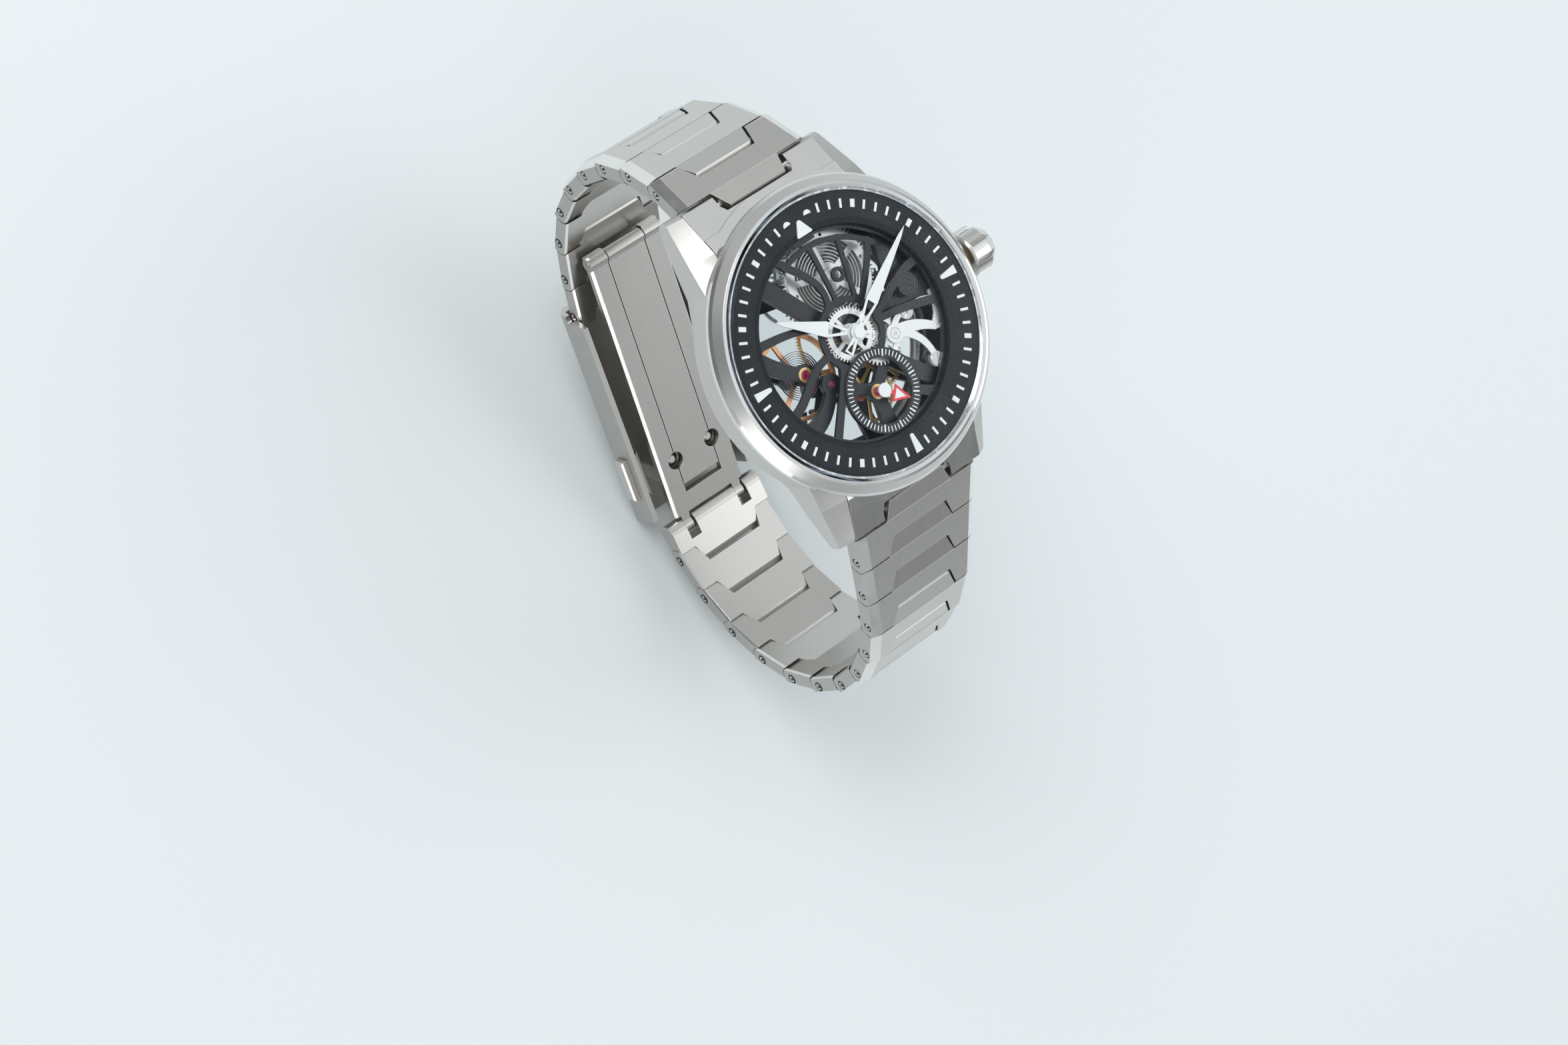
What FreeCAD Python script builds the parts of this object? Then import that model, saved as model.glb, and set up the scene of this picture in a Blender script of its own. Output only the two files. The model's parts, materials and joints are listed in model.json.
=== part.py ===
import FreeCAD, Part
import os
from math import sin, cos, pi, radians, degrees, atan2, asin, hypot, sqrt
from FreeCAD import Vector as V

os.makedirs("parts", exist_ok=True)

# ---------------------------------------------------------------- driving sizes, mm
# frame: +Z out of the dial, +Y to 12 o'clock, +X to 3 o'clock (crown); z = 0 is the case back's outer face
CASE_R = 19.6             # case middle, round part
BEZEL_R = 20.0            # bezel, largest radius
BORE_R = 17.0             # case bore that takes the movement
Z_TRACK = 8.8             # plane of the minute marks
Z_CASE_TOP = 6.9          # case middle under the bezel
CRYSTAL_R = 17.95
CRYSTAL_T = 1.25
CRYSTAL_DOME = 1.75       # rise of the crystal's middle over its edge
LUG_TIP_Y = 22.9          # half of the lug-to-lug length
LUG_IN_X = 10.75          # half of the width between the lugs
PIVOT_Y = 21.45           # first bracelet pin, from the centre line
PIVOT_Z = 2.4
Z_BRIDGE = 4.3            # underside of the end link's bridge over the first tongue
PITCH = 6.1               # pin to pin along the bracelet
LINK_T = 2.9              # link thickness
LINK_W0 = 20.9            # bracelet width at the first pin
LINK_W1 = 15.9            # bracelet width at the clasp
TAPER_LINKS = 6           # links over which the width falls
TONGUE_TIP_W = 8.9
TONGUE_BASE_W = 11.3
PIN_R = 0.5
RUN = 0.04                # radial running clearance of every pin, stem and arbor
SLIT = 0.12               # gap between neighbouring links and flat sliding faces
PLAY = 0.15               # side play of a part between two walls
BLADE_T = 1.1             # clasp blades
FRAME_W = 12.2            # clasp outer blade
MID_W = 6.2               # clasp middle blade
COVER_T = 0.8             # clasp cover plate
COVER_H = 5.3             # clasp cover side wall, over all
CROWN_R = 3.15
CROWN_L = 4.2
CROWN_GAP = 1.1           # between the case and the pushed-in crown
CROWN_Z = Z_TRACK - 4.0
STEM_R = 0.65
PULL = 1.8                # travel of the pulled crown
PRESS = 0.9               # travel of a clasp button
HUB = 0.75                # cap over the hands
Z_EDGE = 8.92             # underside of the crystal's edge
Z_RECESS = 9.35           # underside of the crystal over the tips of the hands
EAR_R = 1.7               # round end of a link's ear, about its pin
COVE_R = EAR_R + SLIT     # hollow of the next link that faces it
KNUCKLE_R = 1.4           # rod-like end of the clasp's end piece
BUTTON_U, BUTTON_V = 24.6, -0.7   # middle of a clasp button: along the cover, outward
BUTTON_HALF, BUTTON_H = 3.1, 0.95  # half of its length and height
BUTTON_FIT = 0.06         # gap around a button in its window
TOP_PIN = (-7.6, -4.9)    # folding pin of the two blades, beyond the cover (along, outward)
V_MID_PIN = -1.6          # height of the middle blade's pin in the cover
WALL = 0.75               # side walls of the cover

# direction of each link in the closed bracelet, degrees below the horizontal, going outward from the case
DIRS_12 = [43.0, 58.0, 72.0, 90.0, 101.5, 112.5, 129.0, 143.5, 150.5]
DIRS_6 = [37.5, 37.5, 38.0, 49.0, 61.0, 74.0, 89.5, 103.5, 122.5, 138.0, 154.5, 170.0]
END_PIECE_DIR = 188.0
END_PIECE_L = 4.1
CLOSURE_V = 3.5           # how far the last clasp pin lies inside the line of the cover's first pin

# movement: positions of the arbors
BARREL = (2.2, 7.17)
CENTRE = (0.0, 0.0)
FOURTH = (0.0, -8.0)
THIRD = (3.382, -4.773)
ESCAPE = (-3.36, -5.90)
PALLET = (-5.23, -4.03)
BALANCE = (-7.9, -1.3)
BALANCE_R = 5.5
Z_BR0, Z_BR1 = 1.6, 2.5   # back bridges
Z_MP0, Z_MP1 = 5.65, 6.55  # main plate
Z_WEB0, Z_WEB1 = 7.35, 7.75  # skeleton dial
PLATE_R = BORE_R
JEWEL_R = 0.8


# ---------------------------------------------------------------- helpers
def cyl(x, y, z0, z1, r, r_in=0.0):
    s = Part.makeCylinder(r, z1 - z0, V(x, y, z0))
    return s.cut(Part.makeCylinder(r_in, z1 - z0 + 2, V(x, y, z0 - 1))) if r_in else s


def xcyl(y, z, x0, x1, r):
    return Part.makeCylinder(r, x1 - x0, V(x0, y, z), V(1, 0, 0))


def box(x0, x1, y0, y1, z0, z1):
    return Part.makeBox(x1 - x0, y1 - y0, z1 - z0, V(x0, y0, z0))


def prism(pts, z0, z1):
    """Plan polygon (x, y) raised from z0 to z1."""
    w = Part.makePolygon([V(x, y, z0) for x, y in pts] + [V(pts[0][0], pts[0][1], z0)])
    return Part.Face(w).extrude(V(0, 0, z1 - z0))


def profile_x(pts, x0, x1):
    """Side profile (y, z) drawn out along X."""
    w = Part.makePolygon([V(x0, y, z) for y, z in pts] + [V(x0, pts[0][0], pts[0][1])])
    return Part.Face(w).extrude(V(x1 - x0, 0, 0))


def revolve(pts):
    """Section (r, z) turned about Z."""
    w = Part.makePolygon([V(r, 0, z) for r, z in pts] + [V(pts[0][0], 0, pts[0][1])])
    return Part.Face(w).revolve(V(0, 0, 0), V(0, 0, 1), 360)


def loft(sections):
    return Part.makeLoft([Part.makePolygon(s + [s[0]]) for s in sections], True, True)


def fuse(items):
    items = [i for i in items if i is not None]
    s = items[0] if len(items) == 1 else items[0].multiFuse(items[1:])
    return s.removeSplitter()


def polar(r, deg, c=(0.0, 0.0)):
    return (c[0] + r * cos(radians(deg)), c[1] + r * sin(radians(deg)))


def turned(s, deg, c=(0.0, 0.0)):
    t = s.copy()
    t.rotate(V(c[0], c[1], 0), V(0, 0, 1), deg)
    return t


def bearing(a, b):
    return degrees(atan2(b[1] - a[1], b[0] - a[0]))


def band(pts, w0, w1, z0, z1, steps=14):
    """Curved bar through the plan points, width going from w0 to w1, with round ends."""
    if len(pts) == 2:
        pts = [pts[0], ((pts[0][0] + pts[1][0]) / 2, (pts[0][1] + pts[1][1]) / 2), pts[1]]
    c = Part.BSplineCurve()
    c.interpolate([V(x, y, z0) for x, y in pts])
    a, b = c.FirstParameter, c.LastParameter
    left, right = [], []
    for i in range(steps + 1):
        u = a + (b - a) * i / steps
        p, t = c.value(u), c.tangent(u)[0]
        h = (w0 + (w1 - w0) * i / steps) / 2
        left.append(V(p.x - t.y * h, p.y + t.x * h, z0))
        right.append(V(p.x + t.y * h, p.y - t.x * h, z0))
    edges = []
    for side in (left, right[::-1]):
        s = Part.BSplineCurve()
        s.interpolate(side)
        edges.append(s.toShape())
    wire = Part.Wire([edges[0], Part.makeLine(left[-1], right[-1]), edges[1],
                      Part.makeLine(right[0], left[0])])
    bar = Part.Face(wire).extrude(V(0, 0, z1 - z0))
    ends = [cyl(pts[0][0], pts[0][1], z0, z1, w0 / 2), cyl(pts[-1][0], pts[-1][1], z0, z1, w1 / 2)]
    return bar.multiFuse(ends)


def gear(c, n, m, z0, z1, phase, bore=0.0, share=0.36, add=0.95, ded=1.3):
    """Toothed wheel: n teeth of module m, one tooth centred on the bearing 'phase' (degrees)."""
    r = m * n / 2
    half = share * pi / n
    pts = []
    for i in range(n):
        a = radians(phase) + 2 * pi * i / n
        for rad, k in ((r - ded * m, -1.35), (r, -1.0), (r + add * m, -0.5),
                       (r + add * m, 0.5), (r, 1.0), (r - ded * m, 1.35)):
            pts.append((c[0] + rad * cos(a + k * half), c[1] + rad * sin(a + k * half)))
    g = prism(pts, z0, z1)
    return g.cut(cyl(c[0], c[1], z0 - 1, z1 + 1, bore)) if bore else g


def crossed(g, c, z0, z1, r_hub, r_rim, arms, width, turn=0.0):
    """Open a wheel's web, leaving 'arms' spokes between the hub and the rim."""
    gap = cyl(c[0], c[1], z0 - 0.5, z1 + 0.5, r_rim, r_hub)
    for i in range(arms):
        bar = box(0, r_rim + 1, -width / 2, width / 2, z0 - 1, z1 + 1)
        bar.translate(V(c[0], c[1], 0))
        gap = gap.cut(turned(bar, turn + 360.0 * i / arms, c))
    return g.cut(gap)


def mesh_phase(a, na, b, nb, phase_a):
    """Phase that puts wheel b in mesh with wheel a, whose tooth lies on the bearing phase_a."""
    line = bearing(a, b)
    lead = (line - phase_a) / (360.0 / na)       # how many pitches past a tooth the centre line is
    return line + 180 + (0.5 + lead) * 360.0 / nb


def arbor(c, z0, z1, r=0.35, pivot=0.15, end=0.45):
    """Staff with a thin pivot at each end that runs in a jewel."""
    return fuse([cyl(c[0], c[1], z0, z1, r), cyl(c[0], c[1], z0 - end, z1 + end, pivot)])


def put(name, shape):
    assert shape.isValid() and shape.Solids and all(s.Volume > 0 for s in shape.Solids), name
    shape.exportStep("parts/%s.step" % name)


# ---------------------------------------------------------------- case
def case_middle():
    body = revolve([(BORE_R, 1.0), (17.9, 1.0), (18.7, 1.3), (CASE_R, 3.0), (CASE_R, Z_CASE_TOP - 0.25),
                    (CASE_R - 0.25, Z_CASE_TOP), (BORE_R, Z_CASE_TOP)])
    # lug sections along Y: outer x above the case line, top height inside and outside, underside
    stations = [(9.0, 5.25, 6.75, 5.5, 1.0), (13.3, 3.65, 6.75, 5.6, 1.0), (17.2, 3.05, 6.1, 4.2, 0.6),
                (LUG_TIP_Y - 0.4, 1.85, 3.3, 1.8, -0.1), (LUG_TIP_Y, 1.65, 2.7, 1.4, 0.4)]
    lug = loft([[V(LUG_IN_X, y, low), V(LUG_IN_X + w, y, low), V(LUG_IN_X + w, y, out), V(LUG_IN_X, y, inner)]
                for y, w, inner, out, low in stations])
    lugs = []
    for sx in (1, -1):
        one = lug if sx > 0 else lug.mirror(V(0, 0, 0), V(1, 0, 0))
        lugs += [one, one.mirror(V(0, 0, 0), V(0, 1, 0))]
    s = fuse([body] + lugs + [xcyl(0, CROWN_Z, CASE_R - 0.6, CASE_R + 0.5, 1.7)])
    s = s.cut(cyl(0, 0, -5, 12, BORE_R))
    s = s.cut(cyl(0, 0, -5, 1.0, 18.05))
    s = s.cut(cyl(0, 0, Z_CASE_TOP, 12, 30))
    return s.cut(xcyl(0, CROWN_Z, 15, 25, STEM_R + RUN))


def bezel():
    z = Z_CASE_TOP
    return revolve([(CRYSTAL_R - 0.3, z), (BEZEL_R - 0.12, z), (BEZEL_R, z + 0.12), (BEZEL_R, z + 0.75),
                    (BEZEL_R - 0.3, z + 1.15), (CRYSTAL_R + 0.85, 9.15), (CRYSTAL_R + 0.5, 9.3),
                    (CRYSTAL_R, 9.1), (CRYSTAL_R, Z_EDGE), (CRYSTAL_R - 0.3, Z_EDGE)])


def crystal():
    half = CRYSTAL_R
    top_edge = Z_EDGE + 0.65
    radius = (half * half + CRYSTAL_DOME ** 2) / (2 * CRYSTAL_DOME)
    blank = cyl(0, 0, Z_EDGE, top_edge + CRYSTAL_DOME, half)
    outer = Part.makeSphere(radius, V(0, 0, top_edge + CRYSTAL_DOME - radius))
    inner = Part.makeSphere(radius - CRYSTAL_T, V(0, 0, top_edge + CRYSTAL_DOME - radius))
    return blank.common(outer).cut(inner).cut(cyl(0, 0, 0, Z_RECESS, half - 0.6))


def chapter_ring():
    return revolve([(13.45, Z_WEB1), (BORE_R - 0.1, Z_WEB1), (BORE_R - 0.1, Z_CASE_TOP),
                    (CRYSTAL_R - 0.35, Z_CASE_TOP), (CRYSTAL_R - 0.35, Z_TRACK), (14.3, Z_TRACK),
                    (13.6, Z_TRACK - 0.25), (13.45, Z_TRACK - 0.5)])


def case_back():
    s = revolve([(12.9, 0.0), (17.4, 0.0), (18.0, 0.35), (18.0, 1.0), (BORE_R, 1.0), (BORE_R, Z_BR0),
                 (15.6, Z_BR0),
                 (14.2, 1.15), (13.6, 1.15), (13.6, 0.3), (12.9, 0.2)])
    for i in range(6):                       # case-opener notches
        s = s.cut(turned(box(15.3, 19.0, -1.1, 1.1, -1, 0.3), 60 * i))
    return s


def back_crystal():
    return cyl(0, 0, 0.3, 1.1, 13.6)


def end_links():
    """Two solid end links between the lugs; each hugs the round case and is notched for the first tongue."""
    w = LUG_IN_X - 0.05
    side = profile_x([(15.0, 6.45), (17.4, 6.15), (21.9, 3.9), (PIVOT_Y + 1.3, 3.2), (PIVOT_Y + 1.5, 2.4),
                      (PIVOT_Y + 0.9, 1.2), (20.3, 0.9), (18.4, 1.3), (15.0, 1.2)], -w, w)
    s = side.cut(cyl(0, 0, -5, 12, CASE_R))
    s = s.cut(cyl(0, 0, Z_CASE_TOP - 0.02, 12, BEZEL_R + 0.05))
    # the band along the bezel stays a little higher than the two ears
    ear = profile_x([(19.0, 8.0), (19.0, 5.15), (25.5, 1.8), (25.5, 8.0)], -w - 1, w + 1)
    s = s.cut(ear.cut(cyl(0, 0, -5, 12, BEZEL_R + 0.75)))
    # the notch for the first tongue: a bridge between the two ears passes over the tongue's tip
    tip, base = TONGUE_TIP_W / 2 + 0.2, TONGUE_BASE_W / 2 + 0.15
    notch = prism([(-tip, PIVOT_Y - 1.97), (tip, PIVOT_Y - 1.97), (base, PIVOT_Y - 0.05), (base, 25.0),
                   (-base, 25.0), (-base, PIVOT_Y - 0.05)], -3, 9)
    s = s.cut(notch.cut(box(-tip - 1, tip + 1, 15.0, PIVOT_Y - 0.85, Z_BRIDGE, 9)))
    s = s.cut(xcyl(PIVOT_Y, PIVOT_Z, -w - 1, w + 1, PIN_R))
    bar = xcyl(PIVOT_Y, PIVOT_Z, -w, w, PIN_R)
    pair = [s, bar]
    return Part.makeCompound(pair + [turned(p, 180) for p in pair])


# ---------------------------------------------------------------- bracelet
def width_at(k):
    """Bracelet width at pin k, counted from the case."""
    left = max(0.0, 1.0 - k / float(TAPER_LINKS))
    return LINK_W1 + (LINK_W0 - LINK_W1) * left ** 1.5


def tongue():
    """Trapezoid tongue of a link about its near pin: plan and side profile in one solid."""
    h = LINK_T / 2
    plan = prism([(-TONGUE_TIP_W / 2, -1.75), (TONGUE_TIP_W / 2, -1.75), (TONGUE_BASE_W / 2, 1.6),
                  (TONGUE_BASE_W / 2, 2.3), (-TONGUE_BASE_W / 2, 2.3), (-TONGUE_BASE_W / 2, 1.6)], -5, 5)
    side = profile_x([(2.3, -h), (-0.7, -h), (-1.5, -1.0), (-1.75, -0.3), (-1.75, 0.5), (-1.5, 1.02),
                      (1.3, h),
                      (2.3, h)], -20, 20)
    return plan.common(side)


def link_local(w_near, w_far):
    """One link lying along +Y from its near pin (origin) to its far pin; +Z is the outer face."""
    h, bd, bw, u = LINK_T / 2, 0.75, 1.25, 0.25
    y0, y1 = 0.3, PITCH + EAR_R + 0.05

    def section(w, y):
        a = w / 2
        return [V(-a + u, y, -h), V(a - u, y, -h), V(a, y, -h + u), V(a, y, h - bd), V(a - bw, y, h),
                V(-a + bw, y, h), V(-a, y, h - bd), V(-a, y, -h + u)]

    slope = (w_far - w_near) / PITCH
    body = loft([section(w_near + slope * y0, y0), section(w_near + slope * y1, y1)])
    body = body.cut(xcyl(0, 0, -20, 20, COVE_R))
    keep = box(-20, 20, 0, PITCH, -5, 5).fuse(xcyl(PITCH, 0, -20, 20, EAR_R))
    body = body.common(keep)
    tip = PITCH - 1.75 - 0.22
    c = 0.14
    notch = prism([(-TONGUE_TIP_W / 2 - c, tip), (TONGUE_TIP_W / 2 + c, tip),
                   (TONGUE_BASE_W / 2 + c + 0.45, PITCH + 3), (-TONGUE_BASE_W / 2 - c - 0.45,
                                                               PITCH + 3)], -5, 5)
    body = body.cut(notch)
    s = fuse([body, tongue()])
    s = s.cut(xcyl(0, 0, -20, 20, PIN_R + RUN))
    s = s.cut(xcyl(PITCH, 0, -20, 20, PIN_R))
    w_pin = w_near + slope * PITCH
    for sx in (1, -1):
        s = s.cut(xcyl(PITCH, 0, *sorted((sx * (w_pin / 2 - 0.4), sx * (w_pin / 2 + 1))), PIN_R + 0.15))
    pin = xcyl(PITCH, 0, -w_pin / 2 + 0.25, w_pin / 2 - 0.25, PIN_R)
    return [s, pin]


def place(parts, y, z, down, flip):
    """Move parts from the link frame to pin (y, z), pointing 'down' degrees below +Y; flip for 6 o'clock."""
    out = []
    for p in parts:
        q = p.copy()
        q.rotate(V(0, 0, 0), V(1, 0, 0), -down)
        q.translate(V(0, y, z))
        out.append(turned(q, 180) if flip else q)
    return Part.makeCompound(out)


def walk(dirs):
    """Pins of a chain of links: list of (y, z), in a frame where the chain leaves towards +Y."""
    pins = [(PIVOT_Y, PIVOT_Z)]
    for d in dirs:
        y, z = pins[-1]
        pins.append((y + PITCH * cos(radians(d)), z - PITCH * sin(radians(d))))
    return pins


def links():
    for tag, dirs, flip in (("12", DIRS_12, False), ("6", DIRS_6, True)):
        pins = walk(dirs)
        for k, d in enumerate(dirs):
            parts = link_local(width_at(k), width_at(k + 1))
            put("link_%s_%d" % (tag, k + 1), place(parts, pins[k][0], pins[k][1], d, flip))


# ---------------------------------------------------------------- clasp
# clasp frame: u from the last 12-side pin along the cover, v outward, origin on that pin
PIN_A = walk(DIRS_12)[-1]
_b = walk(DIRS_6)[-1]
CLOSURE = (-(_b[0] + END_PIECE_L * cos(radians(END_PIECE_DIR))),
           _b[1] - END_PIECE_L * sin(radians(END_PIECE_DIR)))
SPAN = hypot(CLOSURE[0] - PIN_A[0], CLOSURE[1] - PIN_A[1])
COVER_DIR = -degrees(atan2(CLOSURE[1] - PIN_A[1], CLOSURE[0] - PIN_A[0])) - degrees(asin(CLOSURE_V / SPAN))
U_END = sqrt(SPAN ** 2 - CLOSURE_V ** 2)      # the closing pin along u
COVER_END = U_END - KNUCKLE_R - 0.2
COVER_W = LINK_W1 + 2 * (PLAY + WALL)         # over all
MID_PIN_U = COVER_END - 5.4                   # pin of the middle blade in the cover
V_PLATE = LINK_T / 2 + 0.12                   # inner face of the cover plate


def clasp_place(parts):
    return place(parts, PIN_A[0], PIN_A[1], COVER_DIR, False)


def clasp_cover():
    w, v0 = COVER_W / 2, V_PLATE
    v1, v2 = v0 + COVER_T, v0 + COVER_T - COVER_H
    r = 0.8
    outer = profile_x([(-0.9, v1), (COVER_END, v1), (COVER_END - 0.9, v2), (0.9, v2)], -w, w)
    shell = loft([[V(-w, y, v2), V(w, y, v2), V(w, y, v1 - r), V(w - r, y, v1), V(-w + r, y, v1),
                   V(-w, y, v1 - r)]
                  for y in (-2.0, COVER_END + 1)])
    s = outer.common(shell)
    inside = box(-w + WALL, w - WALL, -5, COVER_END + 5, v2 - 1, v0)
    s = s.cut(inside)
    for sx in (1, -1):                         # pin bosses of the middle blade, on the plate
        x = sorted((sx * (MID_W / 2 + PLAY), sx * (MID_W / 2 + PLAY + 1.0)))
        s = s.fuse(box(x[0], x[1], MID_PIN_U - 1.2, MID_PIN_U + 1.2, V_MID_PIN - 0.9, v0 + 0.1))
        s = s.cut(xcyl(MID_PIN_U, V_MID_PIN, x[0] - 0.1, x[1] + 0.1, PIN_R))
        x = sorted((sx * (w - 1.5), sx * (w + 1)))
        a, b = BUTTON_HALF + BUTTON_FIT, BUTTON_H + BUTTON_FIT
        s = s.cut(box(x[0], x[1], BUTTON_U - a, BUTTON_U + a, BUTTON_V - b, BUTTON_V + b))
    pin_m = xcyl(MID_PIN_U, V_MID_PIN, -MID_W / 2 - PLAY - 1.0, MID_W / 2 + PLAY + 1.0, PIN_R)
    s = s.cut(xcyl(0, 0, -w - 1, w + 1, PIN_R + 0.3))
    lug = None
    for sx in (1, -1):                         # ears on the plate that hold the last link's pin
        x = sorted((sx * 1.6, sx * 3.6))
        e = box(x[0], x[1], -1.0, 1.2, -1.0, v0 + 0.1).common(
            xcyl(0, 0, -20, 20, 1.3).fuse(box(-20, 20, -1.0, 1.2, 0, 5)))
        e = e.cut(xcyl(0, 0, -20, 20, PIN_R + RUN))
        lug = e if lug is None else lug.fuse(e)
    s = fuse([s, lug])
    return [s, pin_m]


def clasp_button(side):
    """Button standing out of the cover's wall; a lip behind the wall keeps it in."""
    w, proud, deep = COVER_W / 2, 1.0, 1.9
    v0, v1 = BUTTON_V - BUTTON_H, BUTTON_V + BUTTON_H
    a, b = sorted((side * (w - deep), side * (w + proud)))
    s = box(a, b, BUTTON_U - BUTTON_HALF, BUTTON_U + BUTTON_HALF, v0, v1)
    s = s.makeChamfer(0.25, [e for e in s.Edges if abs(e.CenterOfMass.x - side * (w + proud)) < 0.01])
    a, b = sorted((side * (w - deep), side * (w - WALL - PRESS - 0.05)))
    lip = box(a, b, BUTTON_U - BUTTON_HALF - 0.4, BUTTON_U + BUTTON_HALF + 0.4, v0, v1)
    return fuse([s, lip])


def blade_axis(p, q):
    """Length and angle (degrees, outward positive) of the line from p to q in the clasp frame."""
    return hypot(q[0] - p[0], q[1] - p[1]), degrees(atan2(q[1] - p[1], q[0] - p[0]))


def along(parts, p, ang):
    out = []
    for s in parts:
        t = s.copy()
        t.rotate(V(0, 0, 0), V(1, 0, 0), ang)
        t.translate(V(0, p[0], p[1]))
        out.append(t)
    return out


def clasp_frame_blade():
    """Outer blade: two rails around a slot, folding pin at the top, fingers at the closing pin."""
    length, ang = blade_axis(TOP_PIN, (U_END, -CLOSURE_V))
    w, t = FRAME_W / 2, BLADE_T / 2
    body = box(-w, w, -1.2, length - 1.8, -t, t)
    body = body.makeChamfer(0.35, [e for e in body.Edges if e.BoundBox.YLength > 5 and e.CenterOfMass.z < 0])
    body = body.fuse(xcyl(0, 0.0, -w, w, 0.95))
    slot = box(-MID_W / 2 - PLAY, MID_W / 2 + PLAY, -3, length - 4.6, -5, 5)
    body = body.cut(slot)
    for sx in (1, -1):
        body = body.cut(cyl(sx * (MID_W / 2 + 0.15), length - 9.6, -3, 3, 1.25))
        x = sorted((sx * 3.9, sx * 5.3))
        f = box(x[0], x[1], length - 3.0, length, -t, t).fuse(xcyl(length, 0, x[0], x[1], 1.0))
        body = body.fuse(f)
    body = body.cut(xcyl(length, 0, -w - 1, w + 1, PIN_R + RUN))
    body = body.cut(xcyl(0, 0, -w - 1, w + 1, PIN_R))
    pin = xcyl(0, 0, -w, w, PIN_R)
    return along([fuse([body]), pin], TOP_PIN, ang)


def clasp_mid_blade():
    """Middle blade: lies in the outer blade's slot and drops to its pin in the cover."""
    length, ang = blade_axis(TOP_PIN, (U_END, -CLOSURE_V))
    w, t = MID_W / 2, BLADE_T / 2
    a = radians(-ang)
    # the cover pin in the blade's own frame
    du, dv = MID_PIN_U - TOP_PIN[0], V_MID_PIN - TOP_PIN[1]
    pu, pv = du * cos(a) - dv * sin(a), du * sin(a) + dv * cos(a)
    side = profile_x([(0.0, -t), (pu + 1.15, -t), (pu + 1.15, pv), (pu - 0.95, pv), (pu - 0.95, t),
                      (0.0, t)], -w, w)
    s = side.fuse(xcyl(pu, pv, -w, w, 0.95)).fuse(xcyl(0, 0, -w, w, 0.95))
    for sx in (1, -1):
        s = s.cut(cyl(sx * (w + 0.15), length - 9.6, -3, t + 0.2, 1.25))
    s = s.cut(xcyl(0, 0, -20, 20, PIN_R + RUN)).cut(xcyl(pu, pv, -20, 20, PIN_R + RUN))
    return along([fuse([s])], TOP_PIN, ang)


def end_piece():
    """Piece between the last 6-side link and the clasp: tongue, body and a slotted knuckle."""
    h, w = LINK_T / 2, LINK_W1 / 2
    body = box(-w, w, 0.3, END_PIECE_L, -h, h).cut(xcyl(0, 0, -20, 20, COVE_R))
    body = body.makeChamfer(0.5, [e for e in body.Edges if abs(abs(e.CenterOfMass.x) - w) < 0.01
                                  and e.CenterOfMass.z > h - 0.01])
    body = body.fuse(xcyl(END_PIECE_L, 0, -w, w, KNUCKLE_R))
    for sx in (1, -1):                          # finger slots, open towards both faces
        x = sorted((sx * 3.7, sx * 5.5))
        body = body.cut(box(x[0], x[1], END_PIECE_L - 2.0, END_PIECE_L + 3, -5, 5))
    s = fuse([body, tongue()])
    s = s.cut(xcyl(0, 0, -20, 20, PIN_R + RUN)).cut(xcyl(END_PIECE_L, 0, -w + 0.6, w - 0.6, PIN_R))
    bar = xcyl(END_PIECE_L, 0, -3.6, 3.6, PIN_R)  # spring bar with both tips drawn in
    return place([s, bar], _b[0], _b[1], END_PIECE_DIR, True)


# ---------------------------------------------------------------- crown and winding works
WP_X, WP_N, WP_M = 12.2, 14, 0.19      # winding pinion: middle, teeth, module
STEM_IN = WP_X + 0.2 - PULL            # inner end of the stem: pulled out, it still holds the pinion
CROWN_WHEEL = (9.5, 0.0)
CROWN_WHEEL_N, RATCHET_N = 42, 56
M_RATCHET = 2 * hypot(CROWN_WHEEL[0] - BARREL[0], CROWN_WHEEL[1] - BARREL[1]) / (CROWN_WHEEL_N + RATCHET_N)
Z_RATCHET = (1.2, 1.45)
POST_R = 0.5                           # plate post that carries the crown wheel
ARBOR_R = 0.95                         # barrel arbor


def crown():
    x0 = CASE_R + CROWN_GAP
    w = Part.makePolygon([V(x0, 0, 0), V(x0, 0, CROWN_R - 0.25), V(x0 + 0.25, 0, CROWN_R),
                          V(x0 + CROWN_L - 1.5, 0, CROWN_R), V(x0 + CROWN_L - 0.15, 0, CROWN_R - 0.95),
                          V(x0 + CROWN_L, 0, CROWN_R - 1.2), V(x0 + CROWN_L, 0, 0), V(x0, 0, 0)])
    s = Part.Face(w).revolve(V(0, 0, 0), V(1, 0, 0), 360)
    for i in range(8):
        g = profile_x([(-0.6, CROWN_R + 0.5), (0.6, CROWN_R + 0.5), (0.0, CROWN_R - 0.85)], x0 + 0.5, x0 + 9)
        g.rotate(V(0, 0, 0), V(1, 0, 0), 22.5 + 45.0 * i)
        s = s.cut(g)
    s.translate(V(0, 0, CROWN_Z))
    s = s.cut(xcyl(0, CROWN_Z, x0 - 1, x0 + 1.5, STEM_R))
    stem = xcyl(0, CROWN_Z, STEM_IN, x0 + 1.5, STEM_R)
    return Part.makeCompound([s, stem])


def winding_pinion():
    g = gear((0, 0), WP_N, WP_M, 0, 1.1, 90.0)   # a tooth points straight down into the crown wheel
    g = g.fuse(cyl(0, 0, 1.1, 1.7, 0.95)).cut(cyl(0, 0, -1, 3, STEM_R + RUN))
    g.rotate(V(0, 0, 0), V(0, 1, 0), 90)
    g.rotate(V(0, 0, 0), V(1, 0, 0), 90)
    g.translate(V(WP_X - 0.55, 0, CROWN_Z))
    return fuse([g])


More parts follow.
